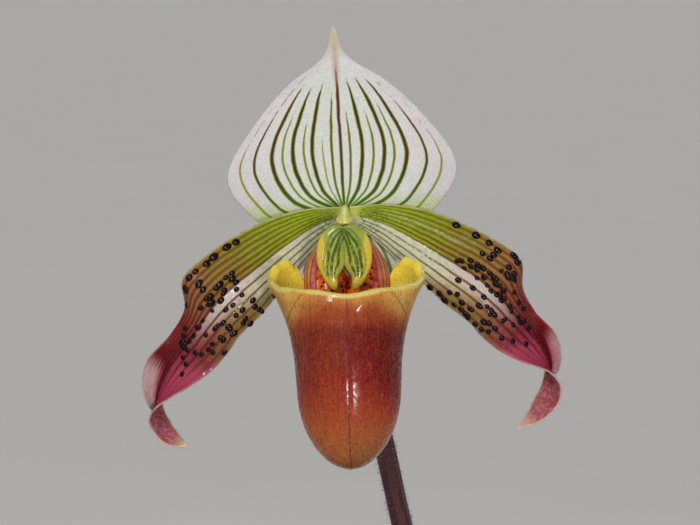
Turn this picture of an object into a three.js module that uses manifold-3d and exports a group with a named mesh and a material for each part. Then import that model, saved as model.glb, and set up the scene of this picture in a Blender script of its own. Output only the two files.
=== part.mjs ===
// A slipper orchid, Paphiopedilum urbanianum, in bloom in a plain clay pot.
// Millimetres, +Z up. The flower looks along -Y. The origin is the middle of the pot's flat foot.
//
// The bloom is built in a frame of its own, whose origin is where its organs meet: x to the viewer's
// right, z up, and y away from the viewer. Organs that touch on the plant keep a gap of about 0.3 mm.

import * as THREE from "three";
import { mergeVertices } from "three/addons/utils/BufferGeometryUtils.js";
import Module from "manifold-3d";

const wasm = await Module();
wasm.setup();

const degrees = THREE.MathUtils.degToRad;

// Driving dimensions

const GAP = 0.35;
const POT = {
  height: 88,
  footRadius: 34,
  shoulderRadius: 43.5,
  rimRadius: 48,
  rimHeight: 20,
  wall: 4.2,
  floor: 6,
  sides: 48,
  drainRadius: 4.2,
  drainCircle: 19,
  drains: 4,
};
const BARK = { top: 73, chips: 28, long: 20, wide: 13, thick: 6, seed: 7 };

// Where the bloom sits, how far it is turned in the viewer's plane, and how far its face looks up.
const BLOOM = { x: -15, y: -36, z: 292, roll: -3.5, lookUp: -6 };
// The lip and column hang straighter than the petals.
const HANG = { x: -0.35, roll: 2.1 };

// The scape's middle line, from 10 mm below the bark to just under the bract.
const SCAPE = {
  line: [
    [0, 0, 62.5],
    [2.4, -0.6, 100],
    [3.2, -2.2, 140],
    [2.2, -4.6, 180],
    [-1.6, -7.6, 215],
    [-6.6, -10.2, 240],
    [-11.3, -11.5, 262],
    [-12.8, -11.45, 271.2],
  ],
  footRadius: 2.3,
  topRadius: 1.6,
  sides: 10,
  steps: 18,
};

// The ovary's middle line, in the bloom's frame: it leaves the scape upwards and arches forward.
const OVARY = {
  line: [
    [1.1, 26.6, -17.6],
    [1.1, 26.6, -9.5],
    [0.9, 22.6, -2.4],
    [0.6, 14.5, 0.8],
    [0.1, 4.1, 0.2],
  ],
  radii: [[1.6], [2.1], [2.5], [2.45], [2.2]],
  sides: 12,
  steps: 14,
  ribs: 6,
  ribDepth: 0.12,
};
const BRACT = { reach: 0.5, footRadius: 2.55, radius: 3.1, flare: 1.5, wrap: 118, thickness: 0.7 };

// Organs of the bloom. Each row is one station from base to tip.
// Half width, height of the margin, height of the middle vein.
const DORSAL = {
  rows: [
    [1.9, 0.6, 0.6],
    [5.2, -1.3, 1.7],
    [9.4, -2.3, 3.0],
    [13.6, -1.3, 4.4],
    [16.6, 1.5, 6.3],
    [18.7, 4.4, 8.9],
    [19.3, 7.2, 11.4],
    [18.2, 10.2, 14.0],
    [15.5, 14.0, 17.0],
    [11.6, 18.6, 20.4],
    [7.6, 22.2, 23.0],
    [3.0, 25.2, 25.4],
    [1.15, 27.6, 27.7],
    [0.25, 31.2, 31.2],
  ],
  shift: -0.4,
  depth: 2.15,
  sweepBack: 2.6,
  hood: 4.2,
  thickness: 0.8,
};
const SYNSEPAL = {
  rows: [
    [1.8, -0.4],
    [4.4, -3.0],
    [7.2, -7.2],
    [8.3, -11.6],
    [7.2, -16.2],
    [4.4, -20.4],
    [1.8, -22.9],
    [0.3, -24.4],
  ],
  depth: 3.3,
  clasp: 5.4,
  cup: 1.6,
  thickness: 0.8,
};
// The right petal as three rails from base to tip, each point x, y, z. The left one mirrors it.
const PETAL = {
  upper: [
    [0.5, 0.85, 1.1],
    [6.4, 0.9, 1.1],
    [12.4, 0.2, 0.0],
    [18.0, -1.2, -2.3],
    [23.6, -2.7, -5.6],
    [28.2, -4.0, -9.4],
    [28.4, -0.6, -14.2],
    [30.2, -1.0, -18.2],
    [33.2, -3.6, -22.0],
    [34.1, -1.4, -26.2],
    [33.2, 2.2, -29.1],
    [31.9, 3.7, -27.5],
    [30.8, 3.4, -30.6],
    [28.5, 1.5, -34.2],
    [26.1, -0.4, -37.6],
  ],
  middle: [
    [0.5, 0.85, -0.2],
    [5.5, 0.4, -1.9],
    [10.5, -0.8, -4.8],
    [15.4, -2.1, -8.1],
    [20.1, -3.0, -11.4],
    [23.7, -3.2, -14.6],
    [26.0, -2.4, -17.6],
    [28.3, -0.6, -20.6],
    [30.6, 1.2, -23.8],
    [32.0, 1.9, -26.8],
    [32.4, 2.4, -28.5],
    [32.6, 2.2, -30.1],
    [32.1, 1.7, -32.8],
    [29.7, 0.7, -35.5],
    [26.0, -0.5, -37.7],
  ],
  lower: [
    [0.5, 0.85, -1.6],
    [4.2, 0.6, -4.6],
    [8.0, -0.2, -8.6],
    [11.8, -1.2, -12.4],
    [15.4, -2.1, -16.2],
    [18.9, -2.6, -19.2],
    [21.0, -2.6, -21.8],
    [23.8, -2.4, -24.4],
    [27.2, -2.6, -26.4],
    [30.2, -3.0, -27.6],
    [32.2, -2.8, -28.7],
    [33.8, -1.6, -31.0],
    [33.2, -0.5, -34.0],
    [30.4, -0.1, -36.5],
    [25.9, -0.6, -37.8],
  ],
  // How the left petal's end differs: outward at the upper and the lower margin, and up.
  leftBend: [
    [0, 0, 0],
    [0, 0, 0],
    [0, 0, 0],
    [-0.5, 0, 0],
    [1.5, 0.3, -0.7],
    [1.3, 1.7, -1.95],
    [1.5, 0.8, -1.2],
    [2.6, 2.7, 0.4],
  ],
  pleat: 0.7,
  thickness: 0.8,
};
// Warts stand in rows along the veins: place across the petal, first and last place along it, count.
const WARTS = {
  rows: [
    [0.86, 0.21, 0.4, 5],
    [0.6, 0.29, 0.53, 5],
    [0.36, 0.24, 0.59, 5],
    [0.12, 0.31, 0.6, 5],
    [-0.14, 0.26, 0.6, 5],
    [-0.4, 0.28, 0.58, 4],
    [-0.64, 0.24, 0.55, 4],
    [-0.88, 0.22, 0.48, 4],
  ],
  radius: 0.62,
  jitter: 0.35,
  seed: 21,
};
// The pouch from toe to ear: height, half width, front wall, back wall.
const POUCH = {
  rows: [
    [-41.4, 0.3, -20.2, -19.6],
    [-40.9, 2.0, -22.2, -17.6],
    [-39.6, 4.0, -23.9, -15.8],
    [-37.4, 5.85, -25.2, -14.2],
    [-34.5, 7.3, -26.0, -12.8],
    [-31.2, 8.15, -26.4, -11.5],
    [-27.6, 8.45, -26.5, -10.2],
    [-23.8, 8.7, -26.3, -8.8],
    [-20.1, 9.3, -25.9, -7.3],
    [-16.9, 10.2, -25.5, -6.0],
    [-14.0, 11.35, -25.1, -4.9],
    [-11.3, 12.4, -24.4, -4.1],
    [-8.2, 12.4, -23.2, -3.6],
  ],
  // Height of the rim round one side: angle from straight sideways, towards the back, and height.
  rim: [
    [-90, -13.5],
    [-60, -12.7],
    [-30, -12.2],
    [0, -10.9],
    [20, -9.2],
    [36, -8.4],
    [46, -9.6],
    [58, -12.6],
    [90, -13.4],
  ],
  wall: 0.9,
  around: 26,
  up: 11,
};
// Each rolled side lobe from top to bottom: height, x and y of its middle, half width, half depth.
const LOBE = {
  rows: [
    [-3.3, 1.7, -1.7, 0.5, 0.5],
    [-4.0, 2.1, -2.9, 1.4, 1.3],
    [-6.0, 2.9, -5.2, 2.4, 2.2],
    [-8.6, 3.3, -6.8, 3.35, 2.7],
    [-11.4, 3.4, -7.9, 3.55, 3.0],
    [-14.6, 3.3, -8.4, 3.45, 3.0],
    [-18.0, 3.0, -8.4, 2.6, 2.5],
    [-20.4, 2.8, -8.2, 1.2, 1.2],
  ],
  sides: 10,
};
// Half of the staminode's outline from the top notch round to the bottom notch: x and z.
const STAMINODE = {
  outline: [
    [0.0, -2.9],
    [1.0, -2.2],
    [2.3, -2.4],
    [3.5, -3.5],
    [4.25, -5.1],
    [4.5, -7.0],
    [4.2, -9.1],
    [3.3, -10.9],
    [2.4, -12.1],
    [1.65, -12.4],
    [1.15, -11.8],
    [1.2, -10.8],
    [1.05, -9.9],
    [0.0, -9.4],
  ],
  x: -0.25,
  front: -13.6,
  depth: 0.7,
  bevel: 0.45,
};
const COLUMN = {
  line: [
    [0, -0.2, -0.2],
    [0, -4.5, -0.6],
    [0, -9.0, -1.0],
    [0, -13.2, -1.7],
  ],
  radii: [[1.3], [1.45], [1.45], [1.15]],
  sides: 12,
  stigma: { y: -7.6, z: -4.3, wide: 1.6, deep: 1.2, tall: 5.0 },
};

// Leaves of one growth: direction, distance of the foot from the middle, length, width, rise at the
// foot and at the tip, sideways drift and twist. Angles are in degrees.
const LEAVES = {
  foot: 62,
  thickness: 1.3,
  edge: 0.75,
  profile: [[0.42], [0.5], [0.66], [0.83], [0.95], [1.0], [0.97], [0.84], [0.56], [0.06]],
  foldAtFoot: 52,
  foldAtTip: 9,
  across: 4,
  along: 14,
  flowering: {
    x: 0,
    y: 0,
    name: "leaf",
    leaves: [
      { toward: -6, out: 15.4, length: 118, width: 33, rise: 58, end: -30, drift: -18, twist: 12 },
      { toward: 172, out: 15.6, length: 124, width: 34, rise: 60, end: -26, drift: 14, twist: -10 },
      { toward: 4, out: 10.2, length: 146, width: 37, rise: 72, end: -8, drift: 12, twist: -12 },
      { toward: 184, out: 10.4, length: 152, width: 38, rise: 74, end: -4, drift: -12, twist: 9 },
      { toward: -2, out: 5.4, length: 112, width: 31, rise: 83, end: 34, drift: -16, twist: 8 },
    ],
  },
  young: {
    x: 3,
    y: 19,
    name: "young_leaf",
    leaves: [
      { toward: 50, out: 6.6, length: 68, width: 23, rise: 80, end: 0, drift: -8, twist: 8 },
      { toward: 148, out: 6.6, length: 76, width: 25, rise: 80, end: 6, drift: 8, twist: -8 },
      { toward: 84, out: 1.6, length: 56, width: 18, rise: 86, end: 46, drift: 6, twist: 0 },
    ],
  },
};

// Helpers

// A smooth curve through rows of numbers. t runs from 0 at the first row to 1 at the last.
function through(rows, t) {
  const last = rows.length - 1;
  const at = Math.min(Math.max(t, 0) * last, last - 1e-9);
  const i = Math.floor(at);
  const f = at - i;
  const before = rows[i - 1] ?? rows[0].map((v, k) => 2 * v - rows[1][k]);
  const after = rows[i + 2] ?? rows[last].map((v, k) => 2 * v - rows[last - 1][k]);
  return rows[i].map((p, k) => {
    const q = rows[i + 1][k];
    const leave = (q - before[k]) / 2;
    const arrive = (after[k] - p) / 2;
    return p + leave * f + (3 * (q - p) - 2 * leave - arrive) * f ** 2 + (2 * (p - q) + leave + arrive) * f ** 3;
  });
}

const mix = (a, b, t) => a + (b - a) * t;
const smooth = (t) => THREE.MathUtils.smoothstep(t, 0, 1);

// Seeded random numbers from 0 to 1.
function randomFrom(seed) {
  let state = seed;
  return () => {
    state = (Math.imul(state, 1664525) + 1013904223) >>> 0;
    return state / 2 ** 32;
  };
}

// A solid from points and triangles, turned so that its faces point out.
function closed(points, triangles) {
  const vertProperties = new Float32Array(points.flatMap((p) => p.toArray()));
  const make = (t) => new wasm.Manifold(new wasm.Mesh({ numProp: 3, vertProperties, triVerts: new Uint32Array(t) }));
  const solid = make(triangles.flat());
  return solid.volume() > 0 ? solid : make(triangles.flatMap(([a, b, c]) => [a, c, b]));
}

// A solid from a three.js geometry.
function solidOf(geometry) {
  const bare = geometry.clone();
  bare.deleteAttribute("normal");
  bare.deleteAttribute("uv");
  const merged = mergeVertices(bare, 1e-4);
  const place = merged.getAttribute("position");
  const points = Array.from({ length: place.count }, (_, i) => new THREE.Vector3().fromBufferAttribute(place, i));
  const index = merged.index.array;
  const triangles = Array.from({ length: index.length / 3 }, (_, i) => [...index.slice(3 * i, 3 * i + 3)]);
  return closed(points, triangles.filter(([a, b, c]) => a !== b && b !== c && c !== a));
}

const union = (solids) => solids.reduce((whole, solid) => whole.add(solid));

// The largest body of a solid: a loose scrap that a cut leaves is dropped.
const largest = (solid) => solid.decompose().reduce((a, b) => (a.volume() > b.volume() ? a : b));

// A blade: surface(u, t) thickened by half to each side, with u from -1 to 1 across and t from 0 to 1
// along. Both faces are split into triangles alike.
function blade(surface, across, along, thickness) {
  const step = 1e-3;
  const points = [];
  for (let i = 0; i <= along; i++)
    for (let j = 0; j <= across; j++) {
      const u = -1 + (2 * j) / across;
      const t = i / along;
      const side = surface(Math.min(u + step, 1), t).sub(surface(Math.max(u - step, -1), t));
      const ahead = surface(u, Math.min(t + step, 1)).sub(surface(u, Math.max(t - step, 0)));
      const offset = side.cross(ahead).setLength(thickness(u, t) / 2);
      const middle = surface(u, t);
      points.push(middle.clone().add(offset), middle.clone().sub(offset));
    }
  const front = (i, j) => 2 * (i * (across + 1) + j);
  const triangles = [];
  for (let i = 0; i < along; i++)
    for (let j = 0; j < across; j++) {
      const [a, b, c, d] = [front(i, j), front(i, j + 1), front(i + 1, j), front(i + 1, j + 1)];
      triangles.push([a, b, d], [a, d, c], [a + 1, d + 1, b + 1], [a + 1, c + 1, d + 1]);
    }
  const edge = [];
  for (let j = 0; j < across; j++) edge.push(front(0, j));
  for (let i = 0; i < along; i++) edge.push(front(i, across));
  for (let j = across; j > 0; j--) edge.push(front(along, j));
  for (let i = along; i > 0; i--) edge.push(front(i, 0));
  edge.forEach((p, k) => {
    const q = edge[(k + 1) % edge.length];
    triangles.push([q, p, p + 1], [q, p + 1, q + 1]);
  });
  return closed(points, triangles);
}

// A solid skinned over rings of equally many points, closed by a fan at each end.
function skinned(rings) {
  const sides = rings[0].length;
  const points = rings.flat();
  const triangles = [];
  for (let i = 0; i + 1 < rings.length; i++)
    for (let j = 0; j < sides; j++) {
      const k = (j + 1) % sides;
      const [a, b, c, d] = [i * sides + j, i * sides + k, (i + 1) * sides + j, (i + 1) * sides + k];
      triangles.push([a, b, d], [a, d, c]);
    }
  for (const [ring, turned] of [[0, true], [rings.length - 1, false]]) {
    const middle = points.length;
    points.push(rings[ring].reduce((sum, p) => sum.add(p), new THREE.Vector3()).divideScalar(sides));
    for (let j = 0; j < sides; j++) {
      const [a, b] = [ring * sides + j, ring * sides + ((j + 1) % sides)];
      triangles.push(turned ? [middle, b, a] : [middle, a, b]);
    }
  }
  return closed(points, triangles);
}

// The middle of a stem at t, with two directions square to it. The first keeps close to +X.
function stemFrame(line, t) {
  const at = new THREE.Vector3(...through(line, t));
  const ahead = new THREE.Vector3(...through(line, Math.min(t + 1e-3, 1)));
  const along = ahead.sub(new THREE.Vector3(...through(line, Math.max(t - 1e-3, 0)))).normalize();
  const side = new THREE.Vector3(1, 0, 0).addScaledVector(along, -along.x).normalize();
  return { at, along, side, up: along.clone().cross(side) };
}

// A round stem along a line, with radius(t, angle).
function stem(line, sides, steps, radius) {
  const rings = [];
  for (let i = 0; i <= steps; i++) {
    const { at, side, up } = stemFrame(line, i / steps);
    rings.push(
      Array.from({ length: sides }, (_, j) => {
        const angle = (2 * Math.PI * j) / sides;
        const r = radius(i / steps, angle);
        return at.clone().addScaledVector(side, r * Math.cos(angle)).addScaledVector(up, r * Math.sin(angle));
      }),
    );
  }
  return skinned(rings);
}

// A turned solid from a profile of radius and height.
function turned(profile, sides) {
  const points = profile.map(([r, z]) => new THREE.Vector2(r, z));
  return solidOf(new THREE.LatheGeometry(points, sides).rotateX(Math.PI / 2));
}

function named(name, solid, material) {
  const { numProp, numVert, vertProperties, triVerts } = solid.getMesh();
  const place = new Float32Array(3 * numVert);
  for (let i = 0; i < numVert; i++) place.set(vertProperties.subarray(i * numProp, i * numProp + 3), 3 * i);
  const geometry = new THREE.BufferGeometry();
  geometry.setAttribute("position", new THREE.BufferAttribute(place, 3));
  geometry.setIndex(new THREE.BufferAttribute(triVerts, 1));
  geometry.computeVertexNormals();
  const mesh = new THREE.Mesh(geometry, material);
  mesh.name = name;
  return mesh;
}

const finish = (color, roughness) => new THREE.MeshStandardMaterial({ color, roughness, metalness: 0 });
const CLAY = finish(0xb5653c, 0.9);
const BARK_CHIPS = finish(0x5a3a24, 0.95);
const LEAF = finish(0x4c7a45, 0.45);
const STEM = finish(0x4a2428, 0.6);
const GREEN_STEM = finish(0x7c7a3c, 0.6);
const WHITE_SEPAL = finish(0xe6e2dc, 0.5);
const ROSE_PETAL = finish(0xa65a68, 0.45);
const POUCH_SKIN = finish(0x9a4a30, 0.35);
const SHIELD = finish(0xc3c24c, 0.35);

// Pot and bark

const innerRadius = (z) => mix(POT.footRadius, POT.shoulderRadius, z / (POT.height - POT.rimHeight)) - POT.wall;

function pot() {
  const { height, footRadius, shoulderRadius, rimRadius, rimHeight, floor } = POT;
  const body = turned(
    [
      [0, 0],
      [footRadius - 1, 0],
      [footRadius, 1],
      [shoulderRadius, height - rimHeight],
      [rimRadius - 0.8, height - rimHeight],
      [rimRadius, height - rimHeight + 0.8],
      [rimRadius + 0.6, height - 1.6],
      [rimRadius - 0.6, height],
      [innerRadius(height) + 1, height],
      [innerRadius(height), height - 1],
      [innerRadius(floor + 2), floor + 2],
      [innerRadius(floor) - 2, floor],
      [0, floor],
    ],
    POT.sides,
  );
  const drain = new THREE.CylinderGeometry(POT.drainRadius, POT.drainRadius, 3 * floor, 12).rotateX(Math.PI / 2);
  const drains = Array.from({ length: POT.drains }, (_, i) => {
    const angle = degrees(45 + (360 * i) / POT.drains);
    const at = drain.clone().translate(POT.drainCircle * Math.cos(angle), POT.drainCircle * Math.sin(angle), 0);
    return solidOf(at);
  });
  return body.subtract(union(drains));
}

// Chips lie by the golden angle over the filled pot, each a wedge with uneven corners.
function barkChips() {
  const random = randomFrom(BARK.seed);
  const reach = innerRadius(BARK.top) - 3;
  return Array.from({ length: BARK.chips }, (_, i) => {
    const out = reach * Math.sqrt((i + 0.5) / BARK.chips);
    const angle = i * Math.PI * (3 - Math.sqrt(5));
    const size = 0.65 + 0.45 * random();
    const chip = new THREE.BoxGeometry(BARK.long * size, BARK.wide * size, BARK.thick * size);
    const bare = mergeVertices(chip.deleteAttribute("normal").deleteAttribute("uv"));
    const place = bare.getAttribute("position");
    for (let k = 0; k < place.count; k++)
      place.setXYZ(
        k,
        place.getX(k) * (0.7 + 0.5 * random()),
        place.getY(k) * (0.7 + 0.5 * random()),
        place.getZ(k) * (0.8 + 0.4 * random()),
      );
    bare.rotateX(0.5 * (random() - 0.5)).rotateY(0.5 * (random() - 0.5)).rotateZ(Math.PI * random());
    return solidOf(bare.translate(out * Math.cos(angle), out * Math.sin(angle), BARK.top + 1.2 * random()));
  });
}

// Everything planted stands in a plain hole in the bark, GAP wider than itself.
function bark(planted) {
  const filled = (top) => [
    [0, POT.floor + GAP],
    [innerRadius(POT.floor) - 2 - GAP, POT.floor + GAP],
    [innerRadius(POT.floor + 2) - GAP, POT.floor + 2.2 + GAP],
    [innerRadius(top) - GAP, top],
    [0, top],
  ];
  const heap = turned(filled(BARK.top), 32).add(union(barkChips()));
  return largest(heap.intersect(turned(filled(POT.height), 32)).subtract(union(planted)));
}

// Leaves

function leafLine({ length, rise, end }) {
  const steps = 24;
  const rows = [[0, 0, degrees(rise)]];
  for (let i = 0; i < steps; i++) {
    const slope = degrees(mix(rise, end, ((i + 0.5) / steps) ** 1.4));
    const [out, up] = rows[i];
    rows.push([out + (Math.cos(slope) * length) / steps, up + (Math.sin(slope) * length) / steps, slope]);
  }
  return rows;
}

// A strap leaf folded along its middle vein, tightly at the foot and almost flat at the tip. One
// grown wider all round also starts earlier.
function leafSurface(growth, leaf, grow) {
  const line = leafLine(leaf);
  return (u, t) => {
    const [out, up, slope] = through(line, t);
    const heading = degrees(leaf.toward + leaf.drift * t * t);
    const outward = new THREE.Vector3(Math.cos(heading), Math.sin(heading), 0);
    const sideways = new THREE.Vector3(-outward.y, outward.x, 0);
    const upward = outward.clone().multiplyScalar(-Math.sin(slope)).setZ(Math.cos(slope));
    const fold = degrees(mix(LEAVES.foldAtFoot, LEAVES.foldAtTip, smooth(t / 0.45)));
    const twist = degrees(leaf.twist * t);
    const half = (leaf.width / 2) * through(LEAVES.profile, t)[0] + grow;
    const early = grow * (1 - t);
    const flat = half * u * Math.cos(fold);
    const lift = half * (Math.sqrt(u * u + 0.01) - 0.1) * Math.sin(fold);
    return new THREE.Vector3(growth.x, growth.y, LEAVES.foot + up - early * Math.sin(slope))
      .addScaledVector(outward, leaf.out + out - early * Math.cos(slope))
      .addScaledVector(sideways, flat * Math.cos(twist) - lift * Math.sin(twist))
      .addScaledVector(upward, flat * Math.sin(twist) + lift * Math.cos(twist));
  };
}

function leafSolid(growth, leaf, grow = 0) {
  const thickness = (u) => mix(LEAVES.thickness, LEAVES.edge, u * u) + 2 * grow;
  return blade(leafSurface(growth, leaf, grow), LEAVES.across, LEAVES.along, thickness);
}

// Stem, ovary and bract

function scape() {
  return stem(SCAPE.line, SCAPE.sides, SCAPE.steps, (t) => mix(SCAPE.footRadius, SCAPE.topRadius, t));
}

function scapeHole() {
  const [[x, y, z], [ahead, , above]] = SCAPE.line;
  const line = [[x, y, z - GAP], [mix(x, ahead, 0.6), y, mix(z, above, 0.6)]];
  return stem(line, SCAPE.sides, 1, () => SCAPE.footRadius + 2 * GAP);
}

function ovary() {
  const radius = (t, angle) => through(OVARY.radii, t)[0] + OVARY.ribDepth * Math.cos(OVARY.ribs * angle);
  return stem(OVARY.line, OVARY.sides, OVARY.steps, radius);
}

// The bract wraps the ovary's foot from behind and tapers to a point.
function bract() {
  const surface = (u, t) => {
    const { at, side, up } = stemFrame(OVARY.line, t * BRACT.reach);
    const wrap = degrees(BRACT.wrap) * u * Math.sqrt(Math.max(1 - t ** 1.6, 0.0004));
    const radius = mix(BRACT.footRadius, BRACT.radius, smooth(t / 0.25)) + BRACT.flare * t;
    return at
      .addScaledVector(side, radius * Math.sin(wrap))
      .addScaledVector(up, -radius * Math.cos(wrap));
  };
  return blade(surface, 8, 8, () => BRACT.thickness);
}

// Sepals and petals

function dorsalSepal() {
  const surface = (u, t) => {
    const [half, margin, vein] = through(DORSAL.rows, t);
    const z = mix(vein, margin, u * u);
    const sweep = DORSAL.sweepBack * u * u * Math.sin(Math.PI * Math.min(t * 1.25, 1)) * smooth(t / 0.3);
    const hood = DORSAL.hood * smooth((t - 0.25) / 0.75) ** 1.5;
    return new THREE.Vector3(half * u + DORSAL.shift, DORSAL.depth + sweep - hood, z);
  };
  return blade(surface, 12, 18, (u, t) => DORSAL.thickness * (1 + 0.5 * (1 - u * u) * (1 - t)));
}

function synsepal() {
  const surface = (u, t) => {
    const [half, z] = through(SYNSEPAL.rows, t);
    const y = SYNSEPAL.depth - SYNSEPAL.clasp * t ** 2 - SYNSEPAL.cup * u * u * Math.sin(Math.PI * t);
    return new THREE.Vector3(half * u, y, z);
  };
  return blade(surface, 6, 12, () => SYNSEPAL.thickness);
}

// A point of a petal, across three rails, with each half bulged forward from the middle vein.
function petalPoint(side, v, t) {
  const rails = [PETAL.lower, PETAL.middle, PETAL.upper].map((rail) => through(rail, t));
  const share = [(v * (v - 1)) / 2, 1 - v * v, (v * (v + 1)) / 2];
  const [x, y, z] = [0, 1, 2].map((k) => rails.reduce((sum, rail, i) => sum + share[i] * rail[k], 0));
  const pleat = PETAL.pleat * Math.sin(Math.PI * Math.abs(v)) * Math.sin(Math.PI * Math.min(t * 1.6, 1));
  if (side > 0) return new THREE.Vector3(x, y - pleat, z);
  const [above, below, lift] = through(PETAL.leftBend, t);
  return new THREE.Vector3(-x - mix(below, above, (v + 1) / 2), y - pleat, z + lift);
}

function wartPlaces() {
  const random = randomFrom(WARTS.seed);
  const spread = () => (random() - 0.5) * WARTS.jitter;
  return WARTS.rows.flatMap(([v, from, to, count]) =>
    Array.from({ length: count }, (_, i) => ({
      v: v + 0.3 * spread(),
      t: mix(from, to, (i + 0.5 + spread()) / count),
      size: 0.8 + 0.4 * random(),
    })),
  );
}

function petal(side) {
  const whole = blade((v, t) => petalPoint(side, v, t), 8, 28, () => PETAL.thickness);
  const warts = wartPlaces().map(({ v, t, size }) => {
    const at = petalPoint(side, v, t);
    const bead = new THREE.IcosahedronGeometry(WARTS.radius * size, 0);
    return solidOf(bead.translate(at.x, at.y - PETAL.thickness / 2, at.z));
  });
  return whole.add(union(warts));
}

// Lip

// The share of the pouch's rows at which it reaches a height.
function pouchShare(height) {
  let [low, high] = [0, 1];
  for (let i = 0; i < 24; i++) {
    const middle = (low + high) / 2;
    if (through(POUCH.rows, middle)[0] < height) low = middle;
    else high = middle;
  }
  return low;
}

// The rim's height at an angle: 0 is straight sideways, and 90 degrees the back.
function rimHeight(angle) {
  const turn = THREE.MathUtils.radToDeg(Math.asin(Math.sin(angle)));
  const at = POUCH.rim.findIndex(([edge]) => edge >= turn - 1e-6);
  if (at <= 0) return POUCH.rim[0][1];
  const [[a, low], [b, high]] = [POUCH.rim[at - 1], POUCH.rim[at]];
  return mix(low, high, smooth((turn - a) / (b - a)));
}

// The pouch is a cup: its outer face from toe to rim, and its inner face back down to the toe.
function pouch() {
  const ring = (up, inset) =>
    Array.from({ length: POUCH.around }, (_, j) => {
      const angle = (2 * Math.PI * j) / POUCH.around;
      const share = mix(0, pouchShare(rimHeight(angle)), up);
      const [z, half, front, back] = through(POUCH.rows, share);
      const deep = Math.max((back - front) / 2 - inset, 0.1);
      const wide = Math.max(half - inset, 0.1);
      return new THREE.Vector3(wide * Math.cos(angle), (front + back) / 2 + deep * Math.sin(angle), z);
    });
  const rings = [];
  for (let i = 0; i <= POUCH.up; i++) rings.push(ring(i / POUCH.up, 0));
  for (let i = POUCH.up; i >= 1; i--) rings.push(ring(i / POUCH.up, POUCH.wall));
  return skinned(rings);
}

function rolledLobe(side) {
  const rings = LOBE.rows.map(([z, x, y, wide, deep]) =>
    Array.from({ length: LOBE.sides }, (_, j) => {
      const angle = (2 * Math.PI * j) / LOBE.sides;
      return new THREE.Vector3(side * (x + wide * Math.cos(angle)), y + deep * Math.sin(angle), z);
    }),
  );
  return skinned(rings);
}

const lip = () => union([pouch(), rolledLobe(1), rolledLobe(-1)]);

// Column, with the shield of the staminode at its end and the stigma under it

function column() {
  const { outline, x: shift, front, depth, bevel } = STAMINODE;
  const right = outline.map(([x, z]) => new THREE.Vector2(x, z));
  const left = outline.slice(1, -1).reverse().map(([x, z]) => new THREE.Vector2(-x, z));
  const shape = new THREE.Shape([...right, ...left]);
  const options = { depth, bevelSize: -bevel * 0.2, bevelThickness: bevel, bevelSegments: 1 };
  const shield = new THREE.ExtrudeGeometry(shape, options).rotateX(Math.PI / 2).translate(shift, front + depth, 0);
  const { stigma } = COLUMN;
  const knob = new THREE.SphereGeometry(1, 10, 6).scale(stigma.wide, stigma.deep, stigma.tall / 2);
  return union([
    stem(COLUMN.line, COLUMN.sides, 8, (t) => through(COLUMN.radii, t)[0]),
    solidOf(shield),
    solidOf(knob.translate(0, stigma.y, stigma.z)),
  ]);
}

// Assembly

const growths = [LEAVES.flowering, LEAVES.young];
const holes = growths.flatMap((growth) => growth.leaves.map((leaf) => leafSolid(growth, leaf, 1.5 * GAP)));

const plant = new THREE.Group();
plant.add(named("pot", pot(), CLAY));
plant.add(named("bark_medium", bark([...holes, scapeHole()]), BARK_CHIPS));
plant.add(named("scape", scape(), STEM));
for (const growth of growths)
  growth.leaves.forEach((leaf, i) => plant.add(named(`${growth.name}_${i + 1}`, leafSolid(growth, leaf), LEAF)));

const bloom = new THREE.Group();
bloom.position.set(BLOOM.x, BLOOM.y, BLOOM.z);
bloom.rotation.set(degrees(BLOOM.lookUp), degrees(BLOOM.roll), 0);
bloom.add(named("ovary", ovary(), GREEN_STEM));
bloom.add(named("bract", bract(), GREEN_STEM));
bloom.add(named("dorsal_sepal", dorsalSepal(), WHITE_SEPAL));
bloom.add(named("synsepalum", synsepal(), WHITE_SEPAL));
bloom.add(named("petal_right", petal(1), ROSE_PETAL));
bloom.add(named("petal_left", petal(-1), ROSE_PETAL));
plant.add(bloom);

const hanging = new THREE.Group();
hanging.position.set(HANG.x, 0, 0);
hanging.rotation.set(0, degrees(HANG.roll), 0);
hanging.add(named("lip", lip(), POUCH_SKIN));
hanging.add(named("column", column(), SHIELD));
bloom.add(hanging);

export default plant;
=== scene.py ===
# %% [markdown]
# # A slipper orchid in a clay pot
#
# This notebook dresses the solid model of a slipper orchid, *Paphiopedilum urbanianum*: one bloom on a
# hairy stem, mottled leaves, and a clay pot filled with bark. The solid model says where everything is.
# Each step here makes one organ again with a fine skin, and gives it a painted surface of its own.
# Lengths are in millimetres until a mesh is made, because a bloom is easiest to think about that way.

import math

import bpy
import numpy as np
from mathutils import Matrix, Vector


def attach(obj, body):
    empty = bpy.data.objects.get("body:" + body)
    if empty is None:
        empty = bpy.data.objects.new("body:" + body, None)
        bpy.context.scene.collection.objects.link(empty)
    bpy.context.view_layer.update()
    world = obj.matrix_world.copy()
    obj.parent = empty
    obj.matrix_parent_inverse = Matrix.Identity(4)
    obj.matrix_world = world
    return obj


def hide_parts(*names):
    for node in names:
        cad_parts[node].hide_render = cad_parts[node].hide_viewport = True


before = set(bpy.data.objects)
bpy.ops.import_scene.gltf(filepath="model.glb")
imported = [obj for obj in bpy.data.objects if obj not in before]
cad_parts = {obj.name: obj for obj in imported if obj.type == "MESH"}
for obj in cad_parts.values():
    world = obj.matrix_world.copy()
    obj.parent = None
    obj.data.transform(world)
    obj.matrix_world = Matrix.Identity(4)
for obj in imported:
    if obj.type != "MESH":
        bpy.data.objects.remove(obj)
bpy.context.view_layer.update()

# %% [markdown]
# ## The frame of the bloom
#
# The bloom nods a little and looks slightly up. All its organs are easier to shape in a frame of their
# own, whose origin is where they meet: x to the viewer's right, z up, y away from the viewer. Two turns
# and a shift take that frame to its place on the plant. The slipper and the column hang a little
# straighter than the petals do, so they get a small turn more.

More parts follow.
